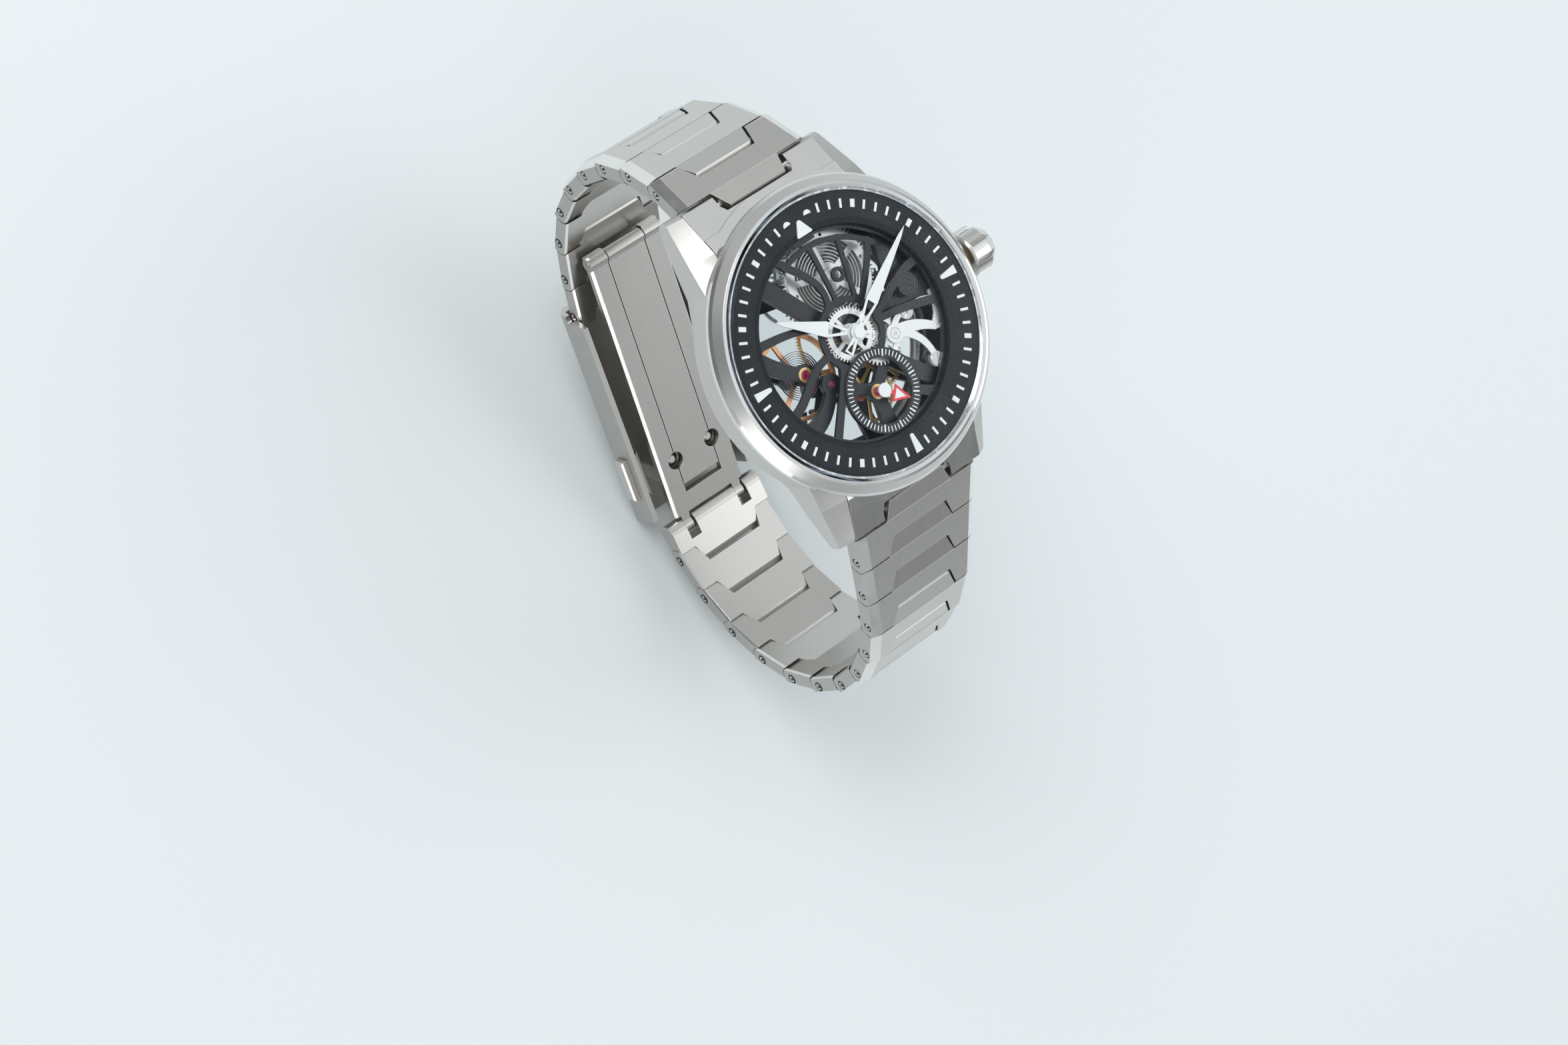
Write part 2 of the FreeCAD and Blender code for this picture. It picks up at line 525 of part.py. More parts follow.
def crown_wheel():
    c, (z0, z1) = CROWN_WHEEL, Z_RATCHET
    rim = gear(c, CROWN_WHEEL_N, M_RATCHET, z0, z1, mesh_phase(BARREL, RATCHET_N, c, CROWN_WHEEL_N, 0.0))
    r = WP_X - c[0]
    top = CROWN_Z - WP_M * WP_N / 2 - 0.02
    cup = cyl(c[0], c[1], z0, top, r + 0.3, r - 0.3)
    k = 28
    for i in range(k):                          # face teeth: slots between them
        t = box(r - 1, r + 1, -0.22, 0.22, top - 0.35, top + 1)
        t.translate(V(c[0], c[1], 0))
        cup = cup.cut(turned(t, 360.0 * i / k, c))
    s = crossed(rim, c, z0, z1, 1.0, r - 0.6, 5, 0.5)
    return fuse([s, cup]).cut(cyl(c[0], c[1], 0, 9, POST_R + RUN))


def ratchet_wheel():
    """Ratchet wheel with the barrel arbor, which runs up through the barrel into the main plate."""
    c, (z0, z1) = BARREL, Z_RATCHET
    g = crossed(gear(c, RATCHET_N, M_RATCHET, z0, z1, 0.0), c, z0, z1, 1.6, 4.5, 6, 0.7, 15)
    return fuse([g, cyl(c[0], c[1], z0, Z_MP1 - 0.2, ARBOR_R)])


def keyless_works():
    """Fixed steel pieces of the winding works: setting-lever spring on the dial side, click on the back."""
    z0, z1 = Z_KEY
    disc, foot, pin = KEY_DISC, KEY_SCREWS[0][:2], KEY_SCREWS[1][:2]
    plate = [cyl(disc[0], disc[1], z0, z1, 1.25), band([disc, (8.2, -3.3), (11.3, -4.9)], 1.9, 1.0, z0, z1),
             band([(6.4, -3.2), (8.6, -5.2), foot], 1.1, 0.8, z0, z1),
             band([(11.3, -4.9), (12.6, -3.4), (13.0, -1.0)], 1.0, 0.7, z0, z1),
             band([foot, (11.0, -9.6), (12.6, -8.6)], 0.8, 0.6, z0, z1),
             band([(6.0, -2.5), (7.2, -1.4), pin], 0.9, 0.7, z0, z1)]
    feet = [cyl(x, y, Z_MP1, z1, 1.0) for x, y in (foot, pin)]
    wire = band([pin, (10.8, -0.9), (13.2, -2.2), (13.0, -4.4), (11.6, -5.3)], 0.3, 0.3, z0 + 0.1, z0 + 0.4)
    plate = fuse(plate + feet + [wire])
    for x, y in (foot, pin):
        plate = plate.cut(cyl(x, y, 5, 9, SHANK_R))
    click = fuse([cyl(-4.6, 10.3, 1.25, Z_BR0, 0.7),
                  band([(-4.6, 10.3), (-6.0, 7.6), (-5.2, 5.4)], 0.5, 0.4, 1.25, 1.55)])
    return Part.makeCompound([plate, click])


# ---------------------------------------------------------------- going train
B_TEETH, C_PIN, C_TEETH, T_PIN, T_TEETH, F_PIN, F_TEETH, E_PIN = 78, 12, 80, 10, 75, 10, 80, 8
M_BC = 2 * hypot(*BARREL) / (B_TEETH + C_PIN)
M_CT = 2 * hypot(*THIRD) / (C_TEETH + T_PIN)
M_TF = 2 * hypot(THIRD[0] - FOURTH[0], THIRD[1] - FOURTH[1]) / (T_TEETH + F_PIN)
M_FE = 2 * hypot(FOURTH[0] - ESCAPE[0], FOURTH[1] - ESCAPE[1]) / (F_TEETH + E_PIN)
Z_BT = (4.6, 5.2)          # barrel teeth
Z_CW = (2.74, 2.92)        # centre wheel
Z_TW = (3.45, 3.62)        # third wheel
Z_FW = (4.15, 4.32)        # fourth wheel
Z_EW = (3.42, 3.62)        # escape wheel and fork
Z_PB = (3.70, 3.86)        # pallet bridge, between the fork and the balance
PB_POST = (-7.4, -6.35)    # its post on the train bridge
PALLET_PIVOT = 0.12
DRUM_R = 6.1


def barrel():
    c = BARREL
    teeth = gear(c, B_TEETH, M_BC, Z_BT[0], Z_BT[1], bearing(BARREL, CENTRE), DRUM_R - 0.4)
    wall = cyl(c[0], c[1], 3.02, 5.45, DRUM_R, DRUM_R - 0.45)
    floor = cyl(c[0], c[1], 3.02, 3.25, DRUM_R)
    lid = cyl(c[0], c[1], 5.22, 5.45, DRUM_R)
    lid = crossed(lid, c, 5.22, 5.45, 1.8, 4.9, 5, 0.8, 20)
    for i in range(10):
        p = polar(5.3, 36 * i, c)
        lid = lid.cut(cyl(p[0], p[1], 5, 6, 0.22))
    s = fuse([teeth, wall, floor, lid])
    return s.cut(cyl(c[0], c[1], 2, 7, ARBOR_R + RUN))


def spiral(c, t, turns, r0, r1, z, height, steps):
    """Flat spiral strip of thickness t from radius r0 out to r1."""
    n = turns * steps
    inner, outer = [], []
    for i in range(n + 1):
        f = i / float(n)
        r = r0 + (r1 - r0) * f
        for pts, k in ((inner, 0), (outer, t)):
            x, y = polar(r + k, 360 * turns * f, c)
            pts.append(V(x, y, z))
    edges = []
    for pts in (inner, outer[::-1]):
        b = Part.BSplineCurve()
        b.interpolate(pts)
        edges.append(b.toShape())
    w = Part.Wire([edges[0], Part.makeLine(inner[-1], outer[-1]), edges[1],
                   Part.makeLine(outer[0], inner[0])])
    return Part.Face(w).extrude(V(0, 0, height))


def mainspring():
    """Half-wound spring lying against the barrel's wall."""
    return spiral(BARREL, 0.11, 9, 1.5, DRUM_R - 0.7, 3.4, 1.75, 24)


def train_wheel(c, teeth, mod, z, ph_wheel, pin_n, pin_m, pin_z, ph_pin, arms, lo, hi, pin_share=0.28):
    w = gear(c, teeth, mod, z[0], z[1], ph_wheel)
    r = teeth * mod / 2
    w = crossed(w, c, z[0], z[1], 0.75, r - 4.2 * mod, arms, 0.42, 30)
    p = gear(c, pin_n, pin_m, pin_z[0], pin_z[1], ph_pin, share=pin_share, add=0.8)
    return fuse([w, p, arbor(c, lo, hi, 0.3 if pin_m < 0.12 else 0.35)])


def centre_wheel():
    ph_pin = mesh_phase(BARREL, B_TEETH, CENTRE, C_PIN, bearing(BARREL, CENTRE))
    s = train_wheel(CENTRE, C_TEETH, M_CT, Z_CW, bearing(CENTRE, THIRD), C_PIN, M_BC,
                    (Z_BT[0] - 0.1, Z_BT[1] + 0.1),
                    ph_pin, 4, Z_BR1 + 0.05, Z_MP0 - 0.05)
    return fuse([s, cyl(0, 0, 5, 8.1, 0.3)])


def third_wheel():
    ph_pin = mesh_phase(CENTRE, C_TEETH, THIRD, T_PIN, bearing(CENTRE, THIRD))
    return train_wheel(THIRD, T_TEETH, M_TF, Z_TW, bearing(THIRD, FOURTH), T_PIN, M_CT,
                       (Z_CW[0] - 0.1, Z_CW[1] + 0.1),
                       ph_pin, 4, Z_BR1 + 0.05, Z_MP0 - 0.05)


def fourth_wheel():
    ph_pin = mesh_phase(THIRD, T_TEETH, FOURTH, F_PIN, bearing(THIRD, FOURTH))
    s = train_wheel(FOURTH, F_TEETH, M_FE, Z_FW, bearing(FOURTH, ESCAPE), F_PIN, M_TF,
                    (Z_TW[0] - 0.15, Z_TW[1] + 0.15),
                    ph_pin, 5, Z_BR1 + 0.05, Z_MP0 - 0.05)
    return fuse([s, cyl(FOURTH[0], FOURTH[1], 5, 8.05, 0.2)])


ESC_R = 2.25


def escape_wheel():
    c, z0, z1, n = ESCAPE, Z_EW[0], Z_EW[1], 15
    pts = []
    for i in range(n):
        a = 24.0 * i
        for r, d in ((ESC_R - 0.6, 0.0), (ESC_R - 0.12, 5.0), (ESC_R, 6.5), (ESC_R - 0.1, 9.5),
                     (ESC_R - 0.6, 7.0),
                     (ESC_R - 0.68, 14.0)):
            pts.append(polar(r, a + d, c))
    w = crossed(prism(pts, z0, z1), c, z0, z1, 0.55, 1.35, 4, 0.3)
    ph = mesh_phase(FOURTH, F_TEETH, ESCAPE, E_PIN, bearing(FOURTH, ESCAPE))
    p = gear(c, E_PIN, M_FE, Z_FW[0] - 0.15, Z_FW[1] + 0.15, ph, share=0.26, add=0.75)
    return fuse([w, p, arbor(c, Z_BR1 + 0.05, Z_MP0 - 0.05, 0.22, 0.12)])


def pallet_fork():
    """Lever: two arms with stones towards the escape wheel, a fork towards the balance."""
    c, z0, z1 = PALLET, Z_EW[0], Z_EW[1]
    to_bal = bearing(PALLET, BALANCE)
    to_esc = bearing(PALLET, ESCAPE)
    parts = [cyl(c[0], c[1], z0, z1, 0.42), band([c, polar(2.25, to_bal, c)], 0.5, 0.36, z0, z1)]
    for s in (1, -1):
        p = polar(ESC_R + 0.35, to_esc + 180 + s * 33, ESCAPE)
        parts.append(band([c, p], 0.5, 0.42, z0, z1))
        q = polar(2.25, to_bal, c)
        parts.append(band([q, polar(2.75, to_bal + s * 9, c)], 0.3, 0.2, z0, z1))
    return fuse(parts + [cyl(c[0], c[1], Z_BR1 + 0.05, Z_PB[0] - 0.04, 0.2),
                         cyl(c[0], c[1], Z_BR1 - 0.4, Z_PB[1] - 0.01, PALLET_PIVOT)])


HUB_R = 0.5                # balance hub that carries the hairspring's inner end
STUD_ARM = (-10.9, 1.1)    # the plate's arm over the hairspring stud passes here


def balance_wheel():
    c, z0, z1 = BALANCE, 3.95, 4.55
    rim = cyl(c[0], c[1], z0, z1, BALANCE_R, BALANCE_R - 0.55)
    bars = []
    for i in range(3):
        b = box(0, BALANCE_R - 0.3, -0.28, 0.28, z0 + 0.1, z1 - 0.15)
        b.translate(V(c[0], c[1], 0))
        bars.append(turned(b, 100 + 120 * i, c))
    screws = []
    for i in range(12):
        p = polar(BALANCE_R - 0.27, 30 * i + 10, c)
        screws.append(cyl(p[0], p[1], z1 - 0.05, z1 + 0.14, 0.2))
    roller = [cyl(c[0], c[1], 3.3, 3.75, 0.55)]
    return fuse([rim, arbor(c, Z_BR1 + 0.05, Z_MP0 - 0.05, 0.3, 0.1), cyl(c[0], c[1], z0, 5.25, HUB_R)]
                + bars + screws + roller)


def hairspring():
    """Balance spring; its outer end is held by a stud under the main plate's arm."""
    r1 = 3.1
    coil = spiral(BALANCE, 0.06, 9, HUB_R + RUN, r1, 4.85, 0.3, 20)
    x, y = polar(r1 + 0.12, 0, BALANCE)
    return turned(fuse([coil, cyl(x, y, 4.75, Z_MP0, 0.22)]), bearing(BALANCE, STUD_ARM), BALANCE)


# ---------------------------------------------------------------- plates, bridges, jewels, screws
SEATS = [CENTRE, THIRD, FOURTH, ESCAPE, PALLET, BALANCE]


def plate_from(z0, z1, arms, seats, inner_r=13.9):
    ring = cyl(0, 0, z0, z1, PLATE_R, inner_r)
    parts = [ring] + [cyl(x, y, z0, z1, r) for x, y, r in seats]
    parts += [band(p, w0, w1, z0, z1) for p, w0, w1 in arms]
    return fuse(parts)


def main_plate():
    arms = [([(0, 0), THIRD, (9.5, -11.5)], 2.0, 2.2), ([THIRD, FOURTH], 1.5, 1.5),
            ([FOURTH, (-0.6, -14.6)], 1.5, 2.4), ([FOURTH, ESCAPE, (-4.6, -5.0), PALLET], 1.5, 1.3),
            ([PALLET, (-9.6, -7.6), (-12.3, -7.9)], 1.3, 2.4), ([BALANCE, STUD_ARM, (-13.8, 4.6)], 1.6, 2.4),
            ([(0, 0), (-2.6, 3.4), (-6.6, 9.4), (-8.2, 11.8)], 2.0, 2.4),
            ([(0, 0), (5.2, 1.0), (9.9, 0.4), (14.6, 0.6)], 2.0, 3.2),
            ([(9.9, 0.4), (10.2, 5.9), (11.2, 9.6)], 2.4, 2.4), ([(0, 0), (-1.9, -2.4), (-3.36, -5.9)],
                                                                 1.5, 1.2)]
    seats = [(x, y, 1.35) for x, y in SEATS] + [(10.3, 1.5, 2.2)] + [(x, y, 1.4) for x, y, _ in KEY_SCREWS]
    s = plate_from(Z_MP0, Z_MP1, arms, seats)
    wall = cyl(0, 0, Z_BR1, Z_MP1, PLATE_R, 15.6)
    s = fuse([s, wall])
    for x, y in SEATS:
        s = s.cut(cyl(x, y, 5, 7, JEWEL_R if (x, y) != CENTRE else 0.42))
    bx, by = BARREL
    s = s.cut(cyl(bx, by, Z_BR1 - 1, Z_MP1 + 1, 1.15))
    s = s.cut(cyl(bx, by, Z_BR1 - 1, 5.52, DRUM_R + 1.0))
    for x, y in ((x, y) for x, y, _ in SCREWS):
        s = s.cut(cyl(x, y, 6.1, 7, SCREW_R + 0.08)).cut(cyl(x, y, 5.9, 6.2, SHANK_R))
    for x, y, _ in KEY_SCREWS:
        s = s.cut(cyl(x, y, 5.9, 7, SHANK_R))
    s = s.cut(cyl(MINUTE_POST[0], MINUTE_POST[1], 6.2, 7, 0.4))
    s = s.cut(xcyl(0, CROWN_Z, STEM_IN - 0.6, 20, STEM_R + RUN))
    s = s.cut(xcyl(0, CROWN_Z, WP_X - 0.6, WP_X + 1.3, 1.65))
    return fuse([s, cyl(CROWN_WHEEL[0], CROWN_WHEEL[1], Z_RATCHET[0] - 0.05, Z_MP0 + 0.1, POST_R)])


def train_bridge():
    bx, by = BARREL
    arms = [([(-12.0, 9.6), (-4.5, 8.2), BARREL], 2.4, 3.2), ([BARREL, (7.6, 9.6), (11.6, 9.6)], 3.2, 2.8),
            ([BARREL, (0.6, 3.4), CENTRE], 2.6, 2.2), ([CENTRE, THIRD, (10.4, -10.8)], 2.2, 2.6),
            ([THIRD, FOURTH, (-0.4, -14.6)], 1.8, 2.4), ([FOURTH, ESCAPE], 1.7, 1.5),
            ([ESCAPE, PALLET, (-10.9, -10.1)], 1.5, 2.0), ([BARREL, (3.2, 12.2), (3.6, 14.6)], 3.0, 3.0)]
    seats = [(x, y, 1.3) for x, y in SEATS[:-1]] + [(bx, by, 3.0)]
    s = plate_from(Z_BR0, Z_BR1, arms, seats)
    cwx, cwy = CROWN_WHEEL
    s = s.cut(cyl(cwx, cwy, 0, 9, WP_X - cwx + 0.65))
    for x, y in SEATS[:-1]:
        s = s.cut(cyl(x, y, 1, 3, JEWEL_R))
    s = s.cut(cyl(bx, by, 1, 3, ARBOR_R + RUN))
    s = s.cut(cyl(BALANCE[0], BALANCE[1], 1, 3, 5.2).common(box(-20, -5.0 + 0.8, -6.0, 4.2, 0, 9)).cut(
        cyl(PALLET[0], PALLET[1], 0, 9, 1.7)))
    s = fuse([s, cyl(PB_POST[0], PB_POST[1], Z_BR1 - 0.1, Z_PB[1], 0.35),
              band([PB_POST, PALLET], 0.7, 0.9, Z_PB[0], Z_PB[1]),
              cyl(PALLET[0], PALLET[1], Z_PB[0], Z_PB[1], 0.55)])
    return s.cut(cyl(PALLET[0], PALLET[1], Z_PB[0] - 0.02, Z_PB[1] + 0.02, PALLET_PIVOT + RUN))


def balance_cock():
    arms = [([BALANCE, (-10.6, 1.6), (-13.9, 5.2)], 2.2, 3.0)]
    s = fuse([cyl(BALANCE[0], BALANCE[1], Z_BR0, Z_BR1, 1.4)] + [band(p, a, b, Z_BR0, Z_BR1) for p, a,
                                                                 b in arms])
    s = s.cut(cyl(0, 0, 0, 9, 30).cut(cyl(0, 0, 0, 9, 13.85)))
    return s.cut(cyl(BALANCE[0], BALANCE[1], 1, 3, JEWEL_R))


SCREW_R, SHANK_R = 0.85, 0.4
Z_KEY = (Z_MP1 + 0.35, Z_MP1 + 0.65)        # keyless plate, above the minute wheel
KEY_DISC = (5.75, -3.0)
KEY_SCREWS = [(9.4, -8.6, 70), (8.6, -1.4, 40)]
SCREWS = [polar(14.9, a) + (a,) for a in (20, 75, 135, 165, 232, 285, 330)]
MINUTE_POST = polar(4.26, -35.0)


def movement_screws():
    out = []
    for screws, z_head, top in ((SCREWS, 6.1, Z_MP1 + 0.25), (KEY_SCREWS, Z_KEY[1], Z_WEB0 - 0.01)):
        for x, y, a in screws:
            s = fuse([cyl(x, y, z_head, top, SCREW_R), cyl(x, y, 5.9, z_head + 0.1, SHANK_R)])
            s = s.cut(turned(box(x - 2, x + 2, y - 0.12, y + 0.12, top - 0.1, top + 1), a, (x, y)))
            out.append(s)
    px, py = MINUTE_POST
    out.append(cyl(px, py, 6.2, Z_MP1 + 0.75, 0.4))
    return Part.makeCompound(out)


def jewels():
    out = []
    for x, y in SEATS:
        hole = {ESCAPE: 0.12, PALLET: PALLET_PIVOT, BALANCE: 0.1, FOURTH: 0.15}.get((x, y), 0.15) + RUN
        if (x, y) != CENTRE:
            h = 0.2 + RUN if (x, y) == FOURTH else hole
            out.append(cyl(x, y, Z_MP0, Z_MP1, JEWEL_R, h))
        out.append(cyl(x, y, Z_BR0, Z_BR1, JEWEL_R, hole))
    return Part.makeCompound(out)


# ---------------------------------------------------------------- motion works, dial, hands
HW_N, HW_PIN, MW_N, CAN_N = 48, 12, 36, 12
M_HW = 2 * 4.26 / (HW_N + HW_PIN)
M_MW = 2 * 4.26 / (MW_N + CAN_N)
Z_MW = (Z_MP1 + 0.08, Z_MP1 + 0.26)
Z_HW = (7.02, 7.2)
Z_HOUR = (8.5, 8.66)
Z_MIN = (8.98, 9.14)
Z_SEC = (8.08, 8.2)
HOUR_A, MIN_A, SEC_A = 304.5, 58.0, 132.0      # clockwise from 12 o'clock


def minute_wheel():
    c = MINUTE_POST
    w = gear(c, MW_N, M_MW, Z_MW[0], Z_MW[1], bearing(c, CENTRE))
    w = crossed(w, c, Z_MW[0], Z_MW[1], 1.25, 2.35, 5, 0.4)
    p = gear(c, HW_PIN, M_HW, Z_MW[1] - 0.05, Z_HW[1] + 0.08, bearing(c, CENTRE), share=0.28, add=0.8)
    return fuse([w, p]).cut(cyl(c[0], c[1], 5, 9, 0.4 + RUN))


def hour_wheel():
    g = gear(CENTRE, HW_N, M_HW, Z_HW[0], Z_HW[1],
             mesh_phase(MINUTE_POST, HW_PIN, CENTRE, HW_N, bearing(MINUTE_POST, CENTRE)))
    g = crossed(g, CENTRE, Z_HW[0], Z_HW[1], 1.35, 2.55, 4, 0.5, 20)
    return fuse([g, cyl(0, 0, Z_HW[0], Z_HOUR[0], 0.9)]).cut(cyl(0, 0, 5, 10, 0.62 + RUN))


def lance(length, half, waist, tail, clock, z, hub_r, bore):
    """Hand: open triangular frame at the hub, then a solid lance; a short open tail behind."""
    neck, near_tip = 0.32, 0.9 * length
    blade = prism([(0.0, length), (-half * 0.30, near_tip), (-half, waist), (-neck, hub_r * 0.8),
                   (neck, hub_r * 0.8), (half, waist), (half * 0.30, near_tip)], z[0], z[1])
    k = 0.30
    opening = prism([(-half + k + 0.05, waist - 0.25), (-0.03, hub_r + 0.35), (0.03, hub_r + 0.35),
                     (half - k - 0.05, waist - 0.25)], z[0] - 1, z[1] + 1)
    back = prism([(-0.30, 0.0), (0.30, 0.0), (0.62, -tail), (-0.62, -tail)], z[0], z[1])
    back = back.cut(prism([(0.0, -hub_r - 0.2), (0.38, -tail + 0.25), (-0.38, -tail + 0.25)], z[0] - 1,
                          z[1] + 1))
    s = fuse([blade.cut(opening), back, cyl(0, 0, z[0], z[1], hub_r)]).cut(cyl(0, 0, 5, 12, bore))
    return turned(s, -clock)


def hour_hand():
    return lance(11.3, 0.98, 4.2, 2.6, HOUR_A, Z_HOUR, 1.25, 0.9)


def minute_hand():
    h = lance(15.3, 0.88, 4.6, 3.0, MIN_A, Z_MIN, 1.0, 0.62)
    ph = mesh_phase(MINUTE_POST, MW_N, CENTRE, CAN_N, bearing(MINUTE_POST, CENTRE))
    cannon = fuse([gear(CENTRE, CAN_N, M_MW, Z_MW[0] - 0.02, Z_MW[1] + 0.02, ph, share=0.28, add=0.8),
                   cyl(0, 0, Z_MW[0], Z_MIN[1], 0.62), cyl(0, 0, Z_MIN[1], Z_MIN[1] + 0.42, HUB)])
    cannon = cannon.cut(cyl(0, 0, 5, 8.2, 0.3 + RUN))
    return Part.makeCompound([h, cannon])


def seconds_hand():
    z0, z1 = Z_SEC
    tri = prism([(0.0, 3.9), (-1.15, 1.35), (1.15, 1.35)], z0, z1)
    tri = tri.cut(prism([(0.0, 3.2), (-0.72, 1.62), (0.72, 1.62)], z0 - 1, z1 + 1))
    neck = prism([(-0.28, 0.0), (0.28, 0.0), (0.28, 1.5), (-0.28, 1.5)], z0, z1)
    s = fuse([tri, neck, cyl(0, 0, z0, z1 + 0.12, 0.9)]).cut(cyl(0, 0, 5, 8.06, 0.2))
    s = turned(s, -SEC_A)
    s.translate(V(FOURTH[0], FOURTH[1], 0))
    return s


SUB_R, SUB_IN = 5.4, 4.1


def skeleton_dial():
    (z0, z1), (bx, by) = (Z_WEB0, Z_WEB1), BARREL
    arms = [([(-5.3, 13.3), (-2.35, 9.5), (-0.9, 6.6), (-1.2, 4.4)], 1.0, 0.8),
            ([(0.3, 12.0), (0.3, 8.0), (0.2, 4.4)], 0.7, 0.6), ([(4.5, 11.2), (3.6, 7.0), (2.85, 3.6)],
                                                                0.7, 0.6),
            ([(8.2, 8.9), (5.6, 5.2), (3.5, 3.0)], 0.8, 0.7),
            ([(14.0, 3.3), (10.6, 3.2), (6.6, 1.4), (4.2, 0.4)], 1.2, 0.9),
            ([(14.0, -2.4), (9.6, -1.1), (5.1, -0.3), (4.2, -0.2)], 1.2, 0.9),
            ([(-13.6, 4.9), (-9.8, 4.5), (-5.9, 3.6), (-3.5, 2.3)], 1.2, 0.8),
            ([(-13.9, -4.8), (-10.4, -3.8), (-7.4, -1.7), (-4.2, -0.9)], 1.2, 0.9),
            ([(-9.3, -10.9), (-6.8, -7.7), (-5.0, -5.4), (-3.3, -2.9)], 1.1, 0.9),
            ([(4.6, -10.4), (6.2, -11.4), (8.2, -12.9)], 1.2, 1.6), ([(0, -13.2), (0.2, -14.6)], 2.0, 3.0)]
    ring = cyl(0, 0, z0, z1, BORE_R - 0.12, 13.1)
    hub = cyl(0, 0, z0, z1, 4.75, 3.95)
    arch = cyl(0, 0, z0, z1, 12.35, 11.65).common(prism([(0, 0), polar(20, 112), polar(20, 90),
                                                         polar(20, 42)], 0, 9))
    parts = [ring, hub, arch, cyl(10.3, 1.4, z0, z1, 1.5), cyl(0, -8, z0, z1 + 0.22, SUB_R)]
    parts += [band(p, a, b, z0, z1) for p, a, b in arms]
    parts += [cyl(*polar(15.9, a), Z_MP1, z1, 0.7) for a in (50, 190, 305)] + [cyl(bx, by, z0, z1, 0.95)]
    tab = prism([(-1.7, 12.6), (1.7, 12.6), (1.7, 14.0), (-1.7, 14.0)], z0, z1)
    return fuse(parts + [tab]).cut(cyl(0, -8, 5, 12, SUB_IN)).cut(cyl(bx, by, 5, 12, 0.5))


def hour_markers():
    """Applied markers: a triangle at 12, tapered batons at 3, 6 and 9, short blocks at the other hours."""
    z0, z1 = Z_TRACK, Z_TRACK + 0.14
    out = [prism([(0.0, 15.6), (-0.25, 15.5), (-1.2, 13.75), (-1.05, 13.62), (1.05, 13.62), (1.2, 13.75),
                  (0.25, 15.5)], z0, z1)]
    baton = fuse([prism([(14.5, -0.28), (16.7, -0.55), (16.7, 0.55), (14.5, 0.28)], z0, z1),
                  cyl(14.5, 0, z0, z1, 0.28)])
    out += [turned(baton, a) for a in (0, 180, 270)]
    block = box(15.5, 16.5, -0.3, 0.3, z0, z0 + 0.1)
    out += [turned(block, a) for a in (30, 60, 120, 150, 210, 240, 300, 330)]
    return Part.makeCompound(out)


# ---------------------------------------------------------------- build
put("case_middle", case_middle())
put("bezel", bezel())
put("crystal", crystal())
put("chapter_ring", chapter_ring())
put("case_back", case_back())
put("back_crystal", back_crystal())
put("end_links", end_links())
links()
put("clasp_cover", clasp_place(clasp_cover()))
put("clasp_mid_blade", clasp_place(clasp_mid_blade()))
put("clasp_frame_blade", clasp_place(clasp_frame_blade()))
put("clasp_button_left", clasp_place([clasp_button(-1)]))
put("clasp_button_right", clasp_place([clasp_button(1)]))
put("clasp_end_piece", end_piece())
put("crown", crown())
put("winding_pinion", winding_pinion())
put("crown_wheel", crown_wheel())
put("ratchet_wheel", ratchet_wheel())
put("keyless_works", keyless_works())
put("barrel", barrel())
put("mainspring", mainspring())
put("center_wheel", centre_wheel())
put("third_wheel", third_wheel())
put("fourth_wheel", fourth_wheel())
put("escape_wheel", escape_wheel())
put("pallet_fork", pallet_fork())
put("balance_wheel", balance_wheel())
put("hairspring", hairspring())
put("main_plate", main_plate())
put("train_bridge", train_bridge())
put("balance_cock", balance_cock())
put("movement_screws", movement_screws())
put("jewels", jewels())
put("minute_wheel", minute_wheel())
put("hour_wheel", hour_wheel())
put("hour_hand", hour_hand())
put("minute_hand", minute_hand())
put("seconds_hand", seconds_hand())
put("skeleton_dial", skeleton_dial())
put("hour_markers", hour_markers())
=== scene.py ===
import json
import math

import bmesh
import bpy
from mathutils import Matrix, Vector

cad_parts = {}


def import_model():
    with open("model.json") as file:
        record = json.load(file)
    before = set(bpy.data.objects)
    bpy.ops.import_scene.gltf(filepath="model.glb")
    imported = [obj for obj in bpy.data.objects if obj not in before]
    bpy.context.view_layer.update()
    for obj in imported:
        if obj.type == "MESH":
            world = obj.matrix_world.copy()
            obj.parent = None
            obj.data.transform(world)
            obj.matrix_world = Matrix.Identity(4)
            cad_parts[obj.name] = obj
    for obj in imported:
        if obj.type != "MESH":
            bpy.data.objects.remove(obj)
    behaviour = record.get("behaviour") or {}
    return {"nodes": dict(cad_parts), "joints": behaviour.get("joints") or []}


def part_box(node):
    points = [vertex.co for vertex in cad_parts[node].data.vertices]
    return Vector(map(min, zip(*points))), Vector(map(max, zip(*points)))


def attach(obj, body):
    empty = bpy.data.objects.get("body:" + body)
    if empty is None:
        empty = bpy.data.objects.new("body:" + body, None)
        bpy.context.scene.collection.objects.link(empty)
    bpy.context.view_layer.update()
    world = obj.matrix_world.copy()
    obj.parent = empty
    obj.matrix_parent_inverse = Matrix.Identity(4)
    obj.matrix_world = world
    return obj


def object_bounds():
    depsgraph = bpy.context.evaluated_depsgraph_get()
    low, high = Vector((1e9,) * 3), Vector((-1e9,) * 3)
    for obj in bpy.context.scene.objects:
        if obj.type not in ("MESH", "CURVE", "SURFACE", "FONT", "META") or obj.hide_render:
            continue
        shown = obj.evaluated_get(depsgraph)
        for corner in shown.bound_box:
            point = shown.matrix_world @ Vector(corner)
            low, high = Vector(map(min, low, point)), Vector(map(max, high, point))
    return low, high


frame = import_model()
cad_low, cad_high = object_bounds()
nodes = frame["nodes"]
joint_at = {j["name"]: Vector(j["pos_m"]) for j in frame["joints"] if "pos_m" in j}

MM = 0.001
